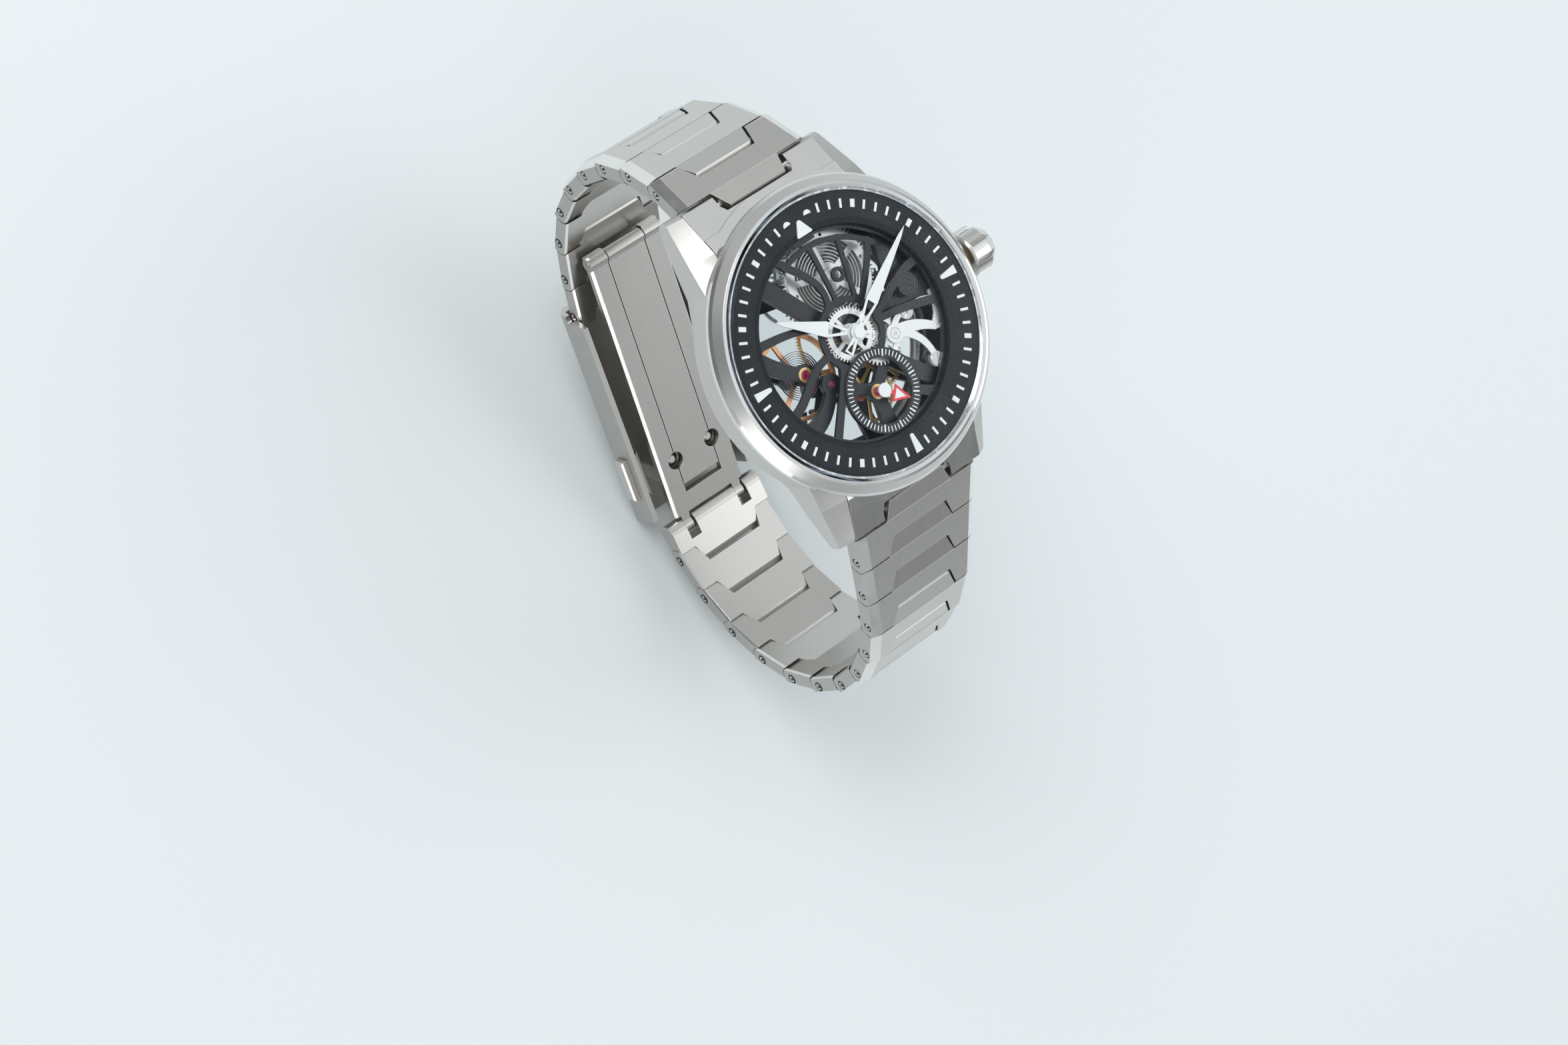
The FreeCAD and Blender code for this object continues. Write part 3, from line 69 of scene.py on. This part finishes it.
# ---------------------------------------------------------------- sizes on the dial, mm
Z_TRACK = 8.8             # plane of the minute marks
TICK_R, TICK_L, TICK_W = 16.0, 1.15, 0.33
DOT_AT, DOT_R = 15.75, 0.546       # half-round dots beside the triangle at 12
SUB_R = (4.25, 4.45, 5.15)         # small seconds marks: inner end of long and short ones, outer end
SUB_W = (0.2, 0.12)                # and their widths
SUB_CENTRE = (0.0, -8.0)  # small seconds
SUB_TOP = 7.97            # face of the small seconds ring
SEC_ANGLE = 132.0         # seconds hand at rest, clockwise from 12
SEC_INFILL = ((0, 3.17), (-0.71, 1.63), (0.71, 1.63))  # window of its triangle, pointing to 12
SEC_FACE = (8.10, 8.17)
PLATE_TOP = 6.55          # dial side of the main plate
BALANCE = (-7.9, -1.3)
JEWELS = [(3.382, -4.773), SUB_CENTRE, (-3.36, -5.90), (-5.23, -4.03), BALANCE]
# drawn end of a bracelet pin, and a dark ring of painted shade in the pin hole: name, material, slot, height
# over the flank, radii, depth, open gap in degrees
PIN_END = [("split_pin", "pin", "titanium", 0.012, 0.22, 0.46, 0.04, 70.0),
           ("pin_hole_shade", "hole", "black_plastic", -0.01, 0.001, 0.72, 0.018, 0.0)]
STUD = [(0, 0), (0.35, 0), (0.35, 0.9), (0.6, 1.0), (0.6, 1.2), (0.45, 1.35), (0, 1.35)]  # radius, height
KEY_DISC = (5.75, -3.0, 7.2)   # round pad of the keyless plate: centre and top
CATCH_BACK, CATCH_X = 9.6, 3.25  # catch studs: distance back from the last clasp pin, and off the middle


# ---------------------------------------------------------------- material nodes
class Shader:
    """A material under construction: its node tree and principled shader, with short helpers."""

    def __init__(self, name, **sockets):
        self.material = bpy.data.materials.new(name)
        self.material.use_nodes = True
        self.tree = self.material.node_tree
        self.tree.nodes.clear()
        self.out = self.node("OutputMaterial")
        self.bsdf = self.node("BsdfPrincipled")
        self.link(self.bsdf.outputs[0], self.out.inputs[0])
        for key, value in sockets.items():
            self.bsdf.inputs[key.replace("_", " ")].default_value = value
        self.object = self.node("TexCoord").outputs["Object"]

    def node(self, kind, **settings):
        n = self.tree.nodes.new("ShaderNode" + kind)
        for key, value in settings.items():
            setattr(n, key, value)
        return n

    def link(self, a, b):
        self.tree.links.new(a, b)

    def noise(self, scale, stretch=(1, 1, 1), detail=3.0, rough=0.55, at=None):
        """Noise with 'scale' features per metre, squeezed along the axes by 'stretch'."""
        place = self.node("Mapping")
        place.inputs["Scale"].default_value = stretch
        self.link(at or self.object, place.inputs["Vector"])
        n = self.node("TexNoise")
        n.inputs["Scale"].default_value = scale
        n.inputs["Detail"].default_value = detail
        n.inputs["Roughness"].default_value = rough
        self.link(place.outputs[0], n.inputs["Vector"])
        return n.outputs["Fac"]

    def fit(self, value, low, high, start=0.3, end=0.7):
        m = self.node("MapRange")
        for key, v in (("From Min", start), ("From Max", end), ("To Min", low), ("To Max", high)):
            m.inputs[key].default_value = v
        self.link(value, m.inputs["Value"])
        return m.outputs[0]

    def blend(self, factor, a, b):
        """Colour a where factor is 0, b where it is 1; a and b are colours or sockets."""
        m = self.node("Mix", data_type="RGBA")
        self.link(factor, m.inputs["Factor"])
        for key, v in ((6, a), (7, b)):
            if isinstance(v, (tuple, list)):
                m.inputs[key].default_value = (*v, 1.0)
            else:
                self.link(v, m.inputs[key])
        return m.outputs[2]

    def radius_about(self, centre):
        """Distance from a Z axis through centre (mm), as a vector along X, for turned surfaces."""
        sub = self.node("VectorMath", operation="SUBTRACT")
        sub.inputs[1].default_value = (centre[0] * MM, centre[1] * MM, 0)
        self.link(self.object, sub.inputs[0])
        flat = self.node("VectorMath", operation="MULTIPLY")
        flat.inputs[1].default_value = (1, 1, 0)
        self.link(sub.outputs[0], flat.inputs[0])
        length = self.node("VectorMath", operation="LENGTH")
        self.link(flat.outputs[0], length.inputs[0])
        pack = self.node("CombineXYZ")
        self.link(length.outputs["Value"], pack.inputs[0])
        return pack.outputs[0]

    def colour(self, socket):
        self.link(socket, self.bsdf.inputs["Base Color"])

    def rough(self, socket):
        self.link(socket, self.bsdf.inputs["Roughness"])

    def bump(self, height, distance, strength=0.5, round_edges=0.0):
        """Surface relief of 'distance' metres, over edges eased by a small radius."""
        b = self.node("Bump")
        b.inputs["Strength"].default_value = strength
        b.inputs["Distance"].default_value = distance
        self.link(height, b.inputs["Height"])
        if round_edges:
            e = self.node("Bevel", samples=4)
            e.inputs["Radius"].default_value = round_edges
            self.link(e.outputs[0], b.inputs["Normal"])
        self.link(b.outputs[0], self.bsdf.inputs["Normal"])


def shade(c, k):
    return tuple(min(1.0, x * k) for x in c)


def brushed(name, colour, rough, stretch, scale=9000.0, relief=1.5e-6, vary=0.022, edges=8e-5, at=None,
            metallic=1.0):
    """Brushed metal: fine streaks along the axis that 'stretch' leaves long, over slow colour changes."""
    s = Shader(name, Metallic=metallic)
    axis = at(s) if at else None
    streak = s.noise(scale, stretch, 4.0, 0.6, axis)
    slow = s.noise(120.0, (1, 1, 1), 2.0)
    speck = s.noise(5200.0, (1, 1, 1), 1.0)
    tone = s.blend(s.fit(streak, 0, 1), shade(colour, 1 - vary), shade(colour, 1 + vary))
    s.colour(s.blend(s.fit(slow, 0, 0.35), tone, shade(colour, 1 - 1.2 * vary)))
    mix = s.node("Math", operation="ADD")
    s.link(s.fit(streak, rough * 0.92, rough * 1.08), mix.inputs[0])
    s.link(s.fit(speck, -0.015, 0.02), mix.inputs[1])
    s.rough(mix.outputs[0])
    s.bump(streak, relief, 0.3, edges)
    return s.material


def polished(name, colour, rough=0.09, edges=5e-5):
    """Polished metal with faint wiping marks and hairline scratches."""
    s = Shader(name, Metallic=1.0)
    wipe = s.noise(300.0, (1, 0.35, 0.6), 3.0)
    hair = s.noise(2200.0, (0.05, 1, 0.4), 2.0)
    s.colour(s.blend(s.fit(wipe, 0, 1), shade(colour, 0.95), shade(colour, 1.03)))
    s.rough(s.fit(wipe, rough * 0.7, rough * 1.5))
    s.bump(hair, 1.5e-6, 0.35, edges)
    return s.material


def coated(name, colour, rough, grain=3500.0, relief=4e-6, edges=0.0, metallic=0.0, vary=0.25, coat=0.0):
    """Paint, print or plastic: slight orange peel, tone and gloss changes."""
    s = Shader(name, Metallic=metallic, Coat_Weight=coat, Coat_Roughness=0.15)
    peel, slow = s.noise(grain, (1, 1, 1), 3.0), s.noise(250.0, (1, 1, 1), 2.0)
    s.colour(s.blend(s.fit(slow, 0, 1), shade(colour, 1 - vary), shade(colour, 1 + vary * 0.5)))
    s.rough(s.fit(slow, rough * 0.85, rough * 1.15))
    s.bump(peel, relief, 0.4, edges)
    return s.material


def ruby_material():
    s = Shader("ruby", Roughness=0.06, IOR=1.76, Transmission_Weight=0.55)
    cloud = s.noise(1500.0, (1, 1, 1), 2.0)
    s.colour(s.blend(s.fit(cloud, 0, 1), (0.50, 0.02, 0.12), (0.85, 0.10, 0.28)))
    s.rough(s.fit(cloud, 0.04, 0.1))
    return s.material


def crystal_material(name, tint, reflect):
    """Coated sapphire: clear from above, with a gloss that grows towards grazing view."""
    s = Shader(name)
    s.tree.nodes.remove(s.bsdf)
    clear, gloss, mix = s.node("BsdfTransparent"), s.node("BsdfGlossy"), s.node("MixShader")
    smear = s.noise(90.0, (1, 1, 1), 2.0)
    s.link(s.blend(s.fit(smear, 0, 1), tint, shade(tint, 1.01)), clear.inputs["Color"])
    s.link(s.fit(smear, 0.0, 0.02), gloss.inputs["Roughness"])
    gloss.inputs["Color"].default_value = (0.86, 0.92, 1.0, 1.0)
    facing = s.node("Fresnel")
    facing.inputs["IOR"].default_value = reflect
    s.link(facing.outputs[0], mix.inputs[0])
    s.link(clear.outputs[0], mix.inputs[1])
    s.link(gloss.outputs[0], mix.inputs[2])
    s.link(mix.outputs[0], s.out.inputs[0])
    return s.material


ALONG_BRACELET = (1.0, 0.02, 0.02)    # streaks run down the links
ACROSS = (0.02, 1.0, 1.0)             # streaks run along X
TITANIUM = (0.66, 0.645, 0.615)
STEEL = (0.72, 0.71, 0.69)
INNER = 0.6                           # fine-grained plating of the movement's parts, partly diffuse
turned_about = lambda c: (lambda s: s.radius_about(c))

M = {
    "link_top": brushed("link_top", TITANIUM, 0.30, ALONG_BRACELET),
    # painted shade: the side faces take the titanium darkened to 0.72 of its colour
    "link_flank_painted_shade": brushed("link_flank_painted_shade", shade(TITANIUM, 0.72), 0.38, (0.3, 0.05, 0.05)),
    "bevel": polished("polished_bevel", (0.82, 0.805, 0.78), 0.16),
    "pin": polished("pin_end", (0.60, 0.59, 0.57), 0.2, 3e-5),
    "case_flank": brushed("case_flank", shade(TITANIUM, 0.92), 0.36, (0.03, 0.03, 1.0)),
    "lug_top": brushed("lug_top", (0.58, 0.57, 0.55), 0.42, ALONG_BRACELET, vary=0.03),
    "bezel_top": brushed("bezel_top", (0.66, 0.65, 0.63), 0.30, (1, 1, 1), 7000.0, 1.5e-6, 0.04,
                         at=turned_about((0, 0))),
    "bezel_edge": polished("bezel_edge", (0.78, 0.77, 0.76), 0.10),
    "ear": polished("end_link_ear", (0.74, 0.73, 0.71), 0.16),
    "back": brushed("case_back_metal", STEEL, 0.3, (1, 1, 1), 6000.0, 2e-6, 0.05, at=turned_about((0, 0))),
    "clasp": brushed("clasp_metal", shade(TITANIUM, 0.97), 0.32, ALONG_BRACELET),
    "clasp_edge": polished("clasp_edge", (0.64, 0.63, 0.61), 0.30),
    "blade": brushed("blade_metal", shade(TITANIUM, 0.95), 0.30, ALONG_BRACELET, 9000.0, 1e-6, 0.02),
    "crown": brushed("crown_metal", STEEL, 0.26, ACROSS, 6000.0, 1.5e-6, 0.05),
    "crown_end": polished("crown_end", (0.76, 0.75, 0.73), 0.12),
    "steel_part": brushed("steel_part", (0.74, 0.74, 0.73), 0.26, (1.0, 0.1, 0.1), 3000.0, 3e-6,
                          metallic=INNER),
    "screw": polished("screw_head", (0.62, 0.62, 0.62), 0.12, 3e-5),
    "black_ring": coated("chapter_black", (0.004, 0.006, 0.009), 0.6),
    "black_metal": coated("dial_black", (0.009, 0.012, 0.016), 0.36, 4200.0, 3e-6, 1.4e-4, coat=0.1),
    "black_plate": coated("plate_black", (0.012, 0.015, 0.020), 0.36, 3800.0, 3e-6, 1e-4, coat=0.1),
    "white": coated("white_print", (0.88, 0.90, 0.90), 0.45, 6000.0, 6e-6, vary=0.03),
    "white_hand": coated("white_lacquer", (0.86, 0.88, 0.88), 0.28, 5000.0, 3e-6, 4e-5, vary=0.03, coat=0.5),
    "hand_edge": polished("hand_edge", (0.80, 0.80, 0.79), 0.12, 0),
    "red": coated("red_lacquer", (0.80, 0.025, 0.035), 0.28, 5000.0, 3e-6, 3e-5, vary=0.10, coat=0.5),
    "gold": brushed("gilt", (0.86, 0.60, 0.25), 0.22, (1, 1, 1), 3000.0, 3e-6, 0.08, 3e-5,
                    turned_about((0, -8)), metallic=INNER),
    "rose": brushed("rose_gilt", (0.86, 0.46, 0.24), 0.24, (1, 1, 1), 3000.0, 3e-6, 0.08, 5e-5,
                    turned_about((-7.9, -1.3)), metallic=INNER),
    "barrel": brushed("barrel_steel", (0.84, 0.84, 0.83), 0.22, (1, 1, 1), 2600.0, 6e-6, 0.16, 5e-5,
                      turned_about((2.2, 7.17)), metallic=INNER),
    "hub_wheel": brushed("hub_wheel_steel", (0.84, 0.84, 0.83), 0.24, (1, 1, 1), 2600.0, 4e-6, 0.1, 4e-5,
                         turned_about((0, 0)), metallic=INNER),
    "spring": brushed("dark_spring", (0.10, 0.10, 0.115), 0.25, (0.3, 0.3, 1.0), 2000.0, 2e-6, 0.2, 0),
    "ruby": ruby_material(),
    "crystal": crystal_material("sapphire", (0.985, 0.99, 0.995), 1.13),
    "back_crystal": crystal_material("back_sapphire", (0.97, 0.985, 0.99), 1.15),
    # painted shade: the dark colour stands for the shade inside the pin holes and catch holes
    "hole": coated("hole_shadow", (0.02, 0.018, 0.016), 0.6),
    "gasket": coated("gasket", (0.30, 0.17, 0.06), 0.4, vary=0.2),
}


# ---------------------------------------------------------------- finishes of the CAD nodes
def finish(node, *names, rule=None):
    """Give a node its materials; rule(normal, centre in mm) picks one for each face."""
    mesh = nodes[node].data
    mesh.materials.clear()
    for n in names:
        mesh.materials.append(M[n])
    for p in mesh.polygons:
        p.material_index = rule(p.normal, p.center * 1000) if rule else 0


# a rule returns 0, 1 or 2: which of the node's materials a face takes
def link_rule(n, c):
    if 0.30 < abs(n.x) < 0.90:
        return 1
    return 2 if abs(n.x) >= 0.90 else 0


def case_rule(n, c):
    on_lug = abs(c.y) > 13.2 and abs(c.x) > 10.7
    return 1 if on_lug and n.z > 0.45 else 0


def bezel_rule(n, c):
    r = math.hypot(c.x, c.y)
    return 1 if r < 18.75 or (c.z < 8.1 and n.z < 0.9) else 0


def top_rule(n, c):
    return 0 if n.z > 0.5 else 1


def crown_rule(n, c):
    return 1 if c.x > 23.6 else 0


LINKS = [n for n in nodes if n.startswith("link_")]
for name in LINKS:
    finish(name, "link_top", "bevel", "link_flank_painted_shade", rule=link_rule)
finish("clasp_end_piece", "link_top", "bevel", "link_flank_painted_shade", rule=link_rule)
finish("case_middle", "case_flank", "lug_top", rule=case_rule)
finish("bezel", "bezel_top", "bezel_edge", rule=bezel_rule)
finish("crystal", "crystal")
finish("back_crystal", "back_crystal")
finish("chapter_ring", "black_ring")
finish("case_back", "back")
finish("end_links", "ear", "link_flank_painted_shade", rule=top_rule)
finish("clasp_cover", "clasp", "clasp_edge", "link_flank_painted_shade", rule=link_rule)
finish("clasp_mid_blade", "blade")
finish("clasp_frame_blade", "blade", "clasp_edge", "link_flank_painted_shade", rule=link_rule)
finish("clasp_button_left", "clasp", "clasp_edge", "clasp", rule=link_rule)
finish("clasp_button_right", "clasp", "clasp_edge", "clasp", rule=link_rule)
finish("crown", "crown", "crown_end", rule=crown_rule)
for name in ("winding_pinion", "crown_wheel", "ratchet_wheel", "keyless_works", "pallet_fork"):
    finish(name, "steel_part")
finish("movement_screws", "screw")
finish("jewels", "ruby")
for name in ("main_plate", "train_bridge", "balance_cock"):
    finish(name, "black_plate")
finish("skeleton_dial", "black_metal")
finish("hour_markers", "white")
for name in ("hour_hand", "minute_hand"):
    finish(name, "white_hand", "hand_edge", rule=top_rule)
finish("seconds_hand", "red", "white_hand",
       rule=lambda n, c: 1 if math.hypot(c.x - SUB_CENTRE[0], c.y - SUB_CENTRE[1]) < 0.95 else 0)
finish("hour_wheel", "hub_wheel")
finish("minute_wheel", "hub_wheel")
finish("barrel", "barrel")
finish("mainspring", "barrel")
finish("hairspring", "spring")
finish("balance_wheel", "rose")
for name in ("center_wheel", "third_wheel", "fourth_wheel", "escape_wheel"):
    finish(name, "gold")


# ---------------------------------------------------------------- added pieces
def piece(name, bm, material, body):
    mesh = bpy.data.meshes.new(name)
    bmesh.ops.recalc_face_normals(bm, faces=bm.faces)
    bm.to_mesh(mesh)
    bm.free()
    mesh.materials.append(M[material])
    o = bpy.data.objects.new(name, mesh)
    bpy.context.scene.collection.objects.link(o)
    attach(o, body)
    return o


def raised(bm, outline, z0, z1):
    """Prism over a plan outline, all in mm."""
    low = [bm.verts.new((x * MM, y * MM, z0 * MM)) for x, y in outline]
    high = [bm.verts.new((x * MM, y * MM, z1 * MM)) for x, y in outline]
    bm.faces.new(low[::-1])
    bm.faces.new(high)
    for i in range(len(low)):
        k = (i + 1) % len(low)
        bm.faces.new((low[i], low[k], high[k], high[i]))


def tick(bm, centre, clock, r0, r1, w, z0, z1):
    """Radial bar 'clock' degrees clockwise from 12, from r0 to r1."""
    a = math.radians(90 - clock)
    u, v = Vector((math.cos(a), math.sin(a))), Vector((-math.sin(a), math.cos(a))) * w / 2
    c = Vector(centre)
    corners = (c + u * r0 - v, c + u * r1 - v, c + u * r1 + v, c + u * r0 + v)
    raised(bm, [tuple(p) for p in corners], z0, z1)


def dial_marks():
    bm = bmesh.new()
    for minute in range(60):
        if minute % 5 and minute not in (1, 59):
            tick(bm, (0, 0), minute * 6, TICK_R - TICK_L / 2, TICK_R + TICK_L / 2, TICK_W,
                 Z_TRACK, Z_TRACK + 0.03)
    for minute in (1, 59):                       # two D-shaped dots beside the triangle
        a = math.radians(90 - minute * 6)
        out = []
        for i in range(13):
            b = a - math.pi / 2 + math.pi * i / 12
            out.append((DOT_AT * math.cos(a) + DOT_R * math.cos(b), DOT_AT * math.sin(a) + DOT_R * math.sin(b)))
        raised(bm, out, Z_TRACK, Z_TRACK + 0.06)
    piece("minute_marks", bm, "white", "case")
    bm = bmesh.new()
    for i in range(60):
        short = 1 if i % 5 else 0
        tick(bm, SUB_CENTRE, i * 6, SUB_R[short], SUB_R[2], SUB_W[short], SUB_TOP, SUB_TOP + 0.02)
    piece("small_seconds_marks", bm, "white", "case")


def seconds_infill():
    bm = bmesh.new()
    a = math.radians(-SEC_ANGLE)
    cx, cy = SUB_CENTRE
    raised(bm, [(x * math.cos(a) - y * math.sin(a) + cx, x * math.sin(a) + y * math.cos(a) + cy)
                for x, y in SEC_INFILL], *SEC_FACE)
    piece("seconds_hand_infill", bm, "white_hand", "fourth_wheel")


def ring(bm, centre, axis, r0, r1, depth, gap=0.0, steps=40):
    """Flat ring about an axis (metres), 'depth' thick, with an open gap of that many degrees."""
    turn = Vector((0, 0, 1)).rotation_difference(Vector(axis)).to_matrix()
    closed = gap == 0.0
    count = steps if closed else steps + 1
    rows = []
    for i in range(count):
        a = math.radians(gap / 2 + (360.0 - gap) * i / steps)
        row = []
        for r, z in ((r0, 0), (r1, 0), (r1, depth), (r0, depth)):
            row.append(bm.verts.new(Vector(centre) + turn @ Vector((r * math.cos(a), r * math.sin(a), z))))
        rows.append(row)
    for i in range(count if closed else count - 1):
        p, q = rows[i], rows[(i + 1) % count]
        for k in range(4):
            m = (k + 1) % 4
            bm.faces.new((p[k], p[m], q[m], q[k]))
    if not closed:
        bm.faces.new(rows[0][::-1])
        bm.faces.new(rows[-1])


def jewel_settings():
    """Gilt settings for the large jewels, black rims that leave only the middle of the small ones."""
    gilt, black = bmesh.new(), bmesh.new()
    for x, y in JEWELS:
        large = (x, y) in (BALANCE, SUB_CENTRE)
        r0, r1 = (0.62, 0.95) if large else (0.36, 0.9)
        ring(gilt if large else black, (x * MM, y * MM, PLATE_TOP * MM), (0, 0, 1),
             r0 * MM, r1 * MM, 0.06 * MM)
    piece("jewel_settings", gilt, "gold", "case")
    piece("jewel_rims", black, "black_metal", "case")


def split_pins():
    """Split ends of the bracelet's pins, in the holes of each link's flanks, each ringed by painted shade in
    its hole.
    """
    for side, count in (("12", 9), ("6", 12)):
        for k in range(1, count + 1):
            after = "link_%s_%d" % (side, k + 1)
            joint = after + "_pin"
            if k == count:
                after = "link_%s_%d" % (side, k)
                joint = "clasp_cover_pin" if side == "12" else "end_piece_pin"
            at, half = joint_at[joint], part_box(after)[1].x
            body = "link_%s_%d" % (side, k)
            for name, material, slot, off, r0, r1, depth, gap in PIN_END:
                bm = bmesh.new()
                for sx in (1, -1):
                    ring(bm, (sx * (half + off * MM), at.y, at.z), (sx, 0, 0),
                         r0 * MM, r1 * MM, depth * MM, gap, 28)
                piece("%s_%s_%d" % (name, side, k), bm, material, body)


def crown_gasket():
    case_x, crown_x = 20.1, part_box("crown")[0]
    bm = bmesh.new()
    ring(bm, (case_x * MM, 0, joint_at["crown_turn"].z), (1, 0, 0), 0.75 * MM, 1.5 * MM, 0.5 * MM)
    piece("crown_gasket", bm, "gasket", "case")


def lathe(bm, base, axis, outline, steps=32):
    """Turned solid about 'axis' from 'base' (metres), outline of (radius, height) in mm from axis to axis."""
    turn = Vector((0, 0, 1)).rotation_difference(Vector(axis).normalized()).to_matrix()
    rows = []
    for r, h in outline:
        if r == 0:
            rows.append([bm.verts.new(Vector(base) + turn @ Vector((0, 0, h * MM)))])
        else:
            angles = (2 * math.pi * i / steps for i in range(steps))
            around = ((r * math.cos(t), r * math.sin(t), h) for t in angles)
            rows.append([bm.verts.new(Vector(base) + turn @ (Vector(c) * MM)) for c in around])
    for p, q in zip(rows, rows[1:]):
        for i in range(steps):
            k = (i + 1) % steps
            corners = [p[i % len(p)], p[k % len(p)], q[k % len(q)], q[i % len(q)]]
            bm.faces.new([v for n, v in enumerate(corners) if v not in corners[:n]])


def smooth(o):
    for p in o.data.polygons:
        p.use_smooth = True
    o.data.set_sharp_from_angle(angle=math.radians(35))


def catch_studs():
    """Two studs of the cover that show in the blades' round catch holes."""
    top, last = joint_at["clasp_frame_fold"], Vector((0, -0.01982, -0.04896))
    run = (last - top).normalized()
    inward = Vector((0, -run.z, run.y)) * (1 if run.y < 0 else -1)
    inward = inward if inward.z > 0 else -inward
    bm = bmesh.new()
    for sx in (1, -1):
        base = last - run * (CATCH_BACK * MM) + Vector((sx * CATCH_X * MM, 0, 0)) - inward * (1.6 * MM)
        lathe(bm, base, inward, STUD)
    smooth(piece("catch_studs", bm, "bevel", "clasp_cover"))
    bm = bmesh.new()
    # painted shade: dark rings inside the catch holes, around the studs
    for sx in (1, -1):
        base = last - run * (CATCH_BACK * MM) + Vector((sx * CATCH_X * MM, 0, 0)) - inward * (1.0 * MM)
        ring(bm, base, inward, 0.65 * MM, 1.2 * MM, 0.1 * MM)
    piece("catch_hole_shadow", bm, "hole", "clasp_cover")


def blade_pin_heads():
    """Slotted heads at both ends of the pin that joins the blades."""
    at, half = joint_at["clasp_frame_fold"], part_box("clasp_frame_blade")[1].x
    bm = bmesh.new()
    for sx in (1, -1):
        for turn in (1, -1):                        # two half discs with the slot between them
            arc = [(0.62 * math.cos(a), turn * (0.07 + 0.55 * math.sin(a))) for a in
                   (math.pi * i / 12 for i in range(13))]
            low, high = [[bm.verts.new((sx * (half + h * MM), at.y + u * MM, at.z + v * MM)) for u, v in arc]
                         for h in (-0.02, 0.1)]
            bm.faces.new(low)
            bm.faces.new(high)
            for i in range(13):
                k = (i + 1) % 13
                bm.faces.new((low[i], low[k], high[k], high[i]))
    piece("blade_pin_heads", bm, "screw", "clasp_frame_blade")


def keyless_mark():
    """A plain engraved-look ring on the keyless plate's round pad."""
    bm = bmesh.new()
    x, y, z = KEY_DISC
    ring(bm, (x * MM, y * MM, z * MM), (0, 0, 1), 0.62 * MM, 0.76 * MM, 0.02 * MM)
    ring(bm, (x * MM, y * MM, z * MM), (0, 0, 1), 0.10 * MM, 0.28 * MM, 0.02 * MM)
    piece("keyless_mark", bm, "screw", "case")


dial_marks()
catch_studs()
blade_pin_heads()
keyless_mark()
seconds_infill()
jewel_settings()
split_pins()
crown_gasket()


# ---------------------------------------------------------------- floor, light, camera
# sky factors: direction, cosine where the change starts and ends, factor before and after it
SKY = [((0, 0, 1), 0.1, 0.95, 0.55, 0.95),
       ((1, -0.6, -0.05), 0.6, 0.85, 1.0, 0.55),
       ((-0.9, 0.75, 0.1), 0.7, 0.9, 1.0, 0.40),
       ((0.1, -1, 0.35), 0.75, 0.93, 1.0, 0.75),
       ((0.45, -0.19, 0.87), 0.86, 0.97, 1.0, 1.2)]


def floor():
    z = cad_low.z - 0.0002
    bm = bmesh.new()
    bmesh.ops.create_grid(bm, x_segments=2, y_segments=2, size=4.0)
    mesh = bpy.data.meshes.new("floor")
    bm.to_mesh(mesh)
    bm.free()
    s = Shader("floor_paint", Roughness=0.6)
    slow = s.noise(3.0, (1, 1, 1), 2.0)
    s.colour(s.blend(s.fit(slow, 0, 1), (0.70, 0.745, 0.755), (0.73, 0.77, 0.78)))
    s.rough(s.fit(slow, 0.5, 0.65))
    mesh.materials.append(s.material)
    o = bpy.data.objects.new("floor", mesh)
    o.location.z = z
    bpy.context.scene.collection.objects.link(o)


def area(name, place, aim, size, power, colour=(1, 1, 1)):
    light = bpy.data.lights.new(name, "AREA")
    light.shape, light.size, light.size_y = "RECTANGLE", size[0], size[1]
    light.energy, light.color = power, colour
    o = bpy.data.objects.new(name, light)
    o.location = place
    o.rotation_mode = "QUATERNION"
    o.rotation_quaternion = (Vector(aim) - Vector(place)).to_track_quat("-Z", "Y")
    bpy.context.scene.collection.objects.link(o)


def world():
    """A white tent: brightest overhead, with two darker sectors low down that give metal its contrast."""
    w = bpy.data.worlds.new("studio")
    bpy.context.scene.world = w
    w.use_nodes = True
    tree = w.node_tree
    link, sky = tree.links.new, tree.nodes["Background"]
    sky.inputs["Color"].default_value = (0.90, 0.94, 0.96, 1)
    direction = tree.nodes.new("ShaderNodeTexCoord").outputs["Generated"]
    total = None
    for toward, start, end, low, high in SKY:
        dot = tree.nodes.new("ShaderNodeVectorMath")
        dot.operation = "DOT_PRODUCT"
        dot.inputs[1].default_value = Vector(toward).normalized()
        link(direction, dot.inputs[0])
        step = tree.nodes.new("ShaderNodeMapRange")
        step.interpolation_type = "SMOOTHSTEP"
        for key, v in (("From Min", start), ("From Max", end), ("To Min", low), ("To Max", high)):
            step.inputs[key].default_value = v
        link(dot.outputs["Value"], step.inputs["Value"])
        if total is None:
            total = step.outputs[0]
        else:
            times = tree.nodes.new("ShaderNodeMath")
            times.operation = "MULTIPLY"
            link(total, times.inputs[0])
            link(step.outputs[0], times.inputs[1])
            total = times.outputs[0]
    link(total, sky.inputs["Strength"])


def camera():
    cam = bpy.data.cameras.new("camera")
    cam.sensor_width, cam.lens = 36.0, 79.6
    cam.clip_start, cam.clip_end = 0.01, 20.0
    o = bpy.data.objects.new("camera", cam)
    right, up, back = (0.7362, -0.4681, 0.4887), (0.5024, 0.8619, 0.0688), (-0.4535, 0.1949, 0.8697)
    turn = Matrix((right, up, back)).transposed().to_4x4()
    o.matrix_world = Matrix.Translation((-0.21042, 0.06678, 0.37146)) @ turn
    bpy.context.scene.collection.objects.link(o)
    bpy.context.scene.camera = o


floor()
world()
MIDDLE = (0.0, -0.005, -0.02)
area("key", (-0.25, 0.55, 0.60), MIDDLE, (0.5, 0.5), 3.2)
area("fill", (0.70, -0.30, 0.45), MIDDLE, (0.5, 0.7), 1.6)
area("low", (-0.60, -0.45, 0.15), MIDDLE, (0.5, 0.3), 0.8)
camera()
bpy.context.scene.view_settings.view_transform = "Standard"
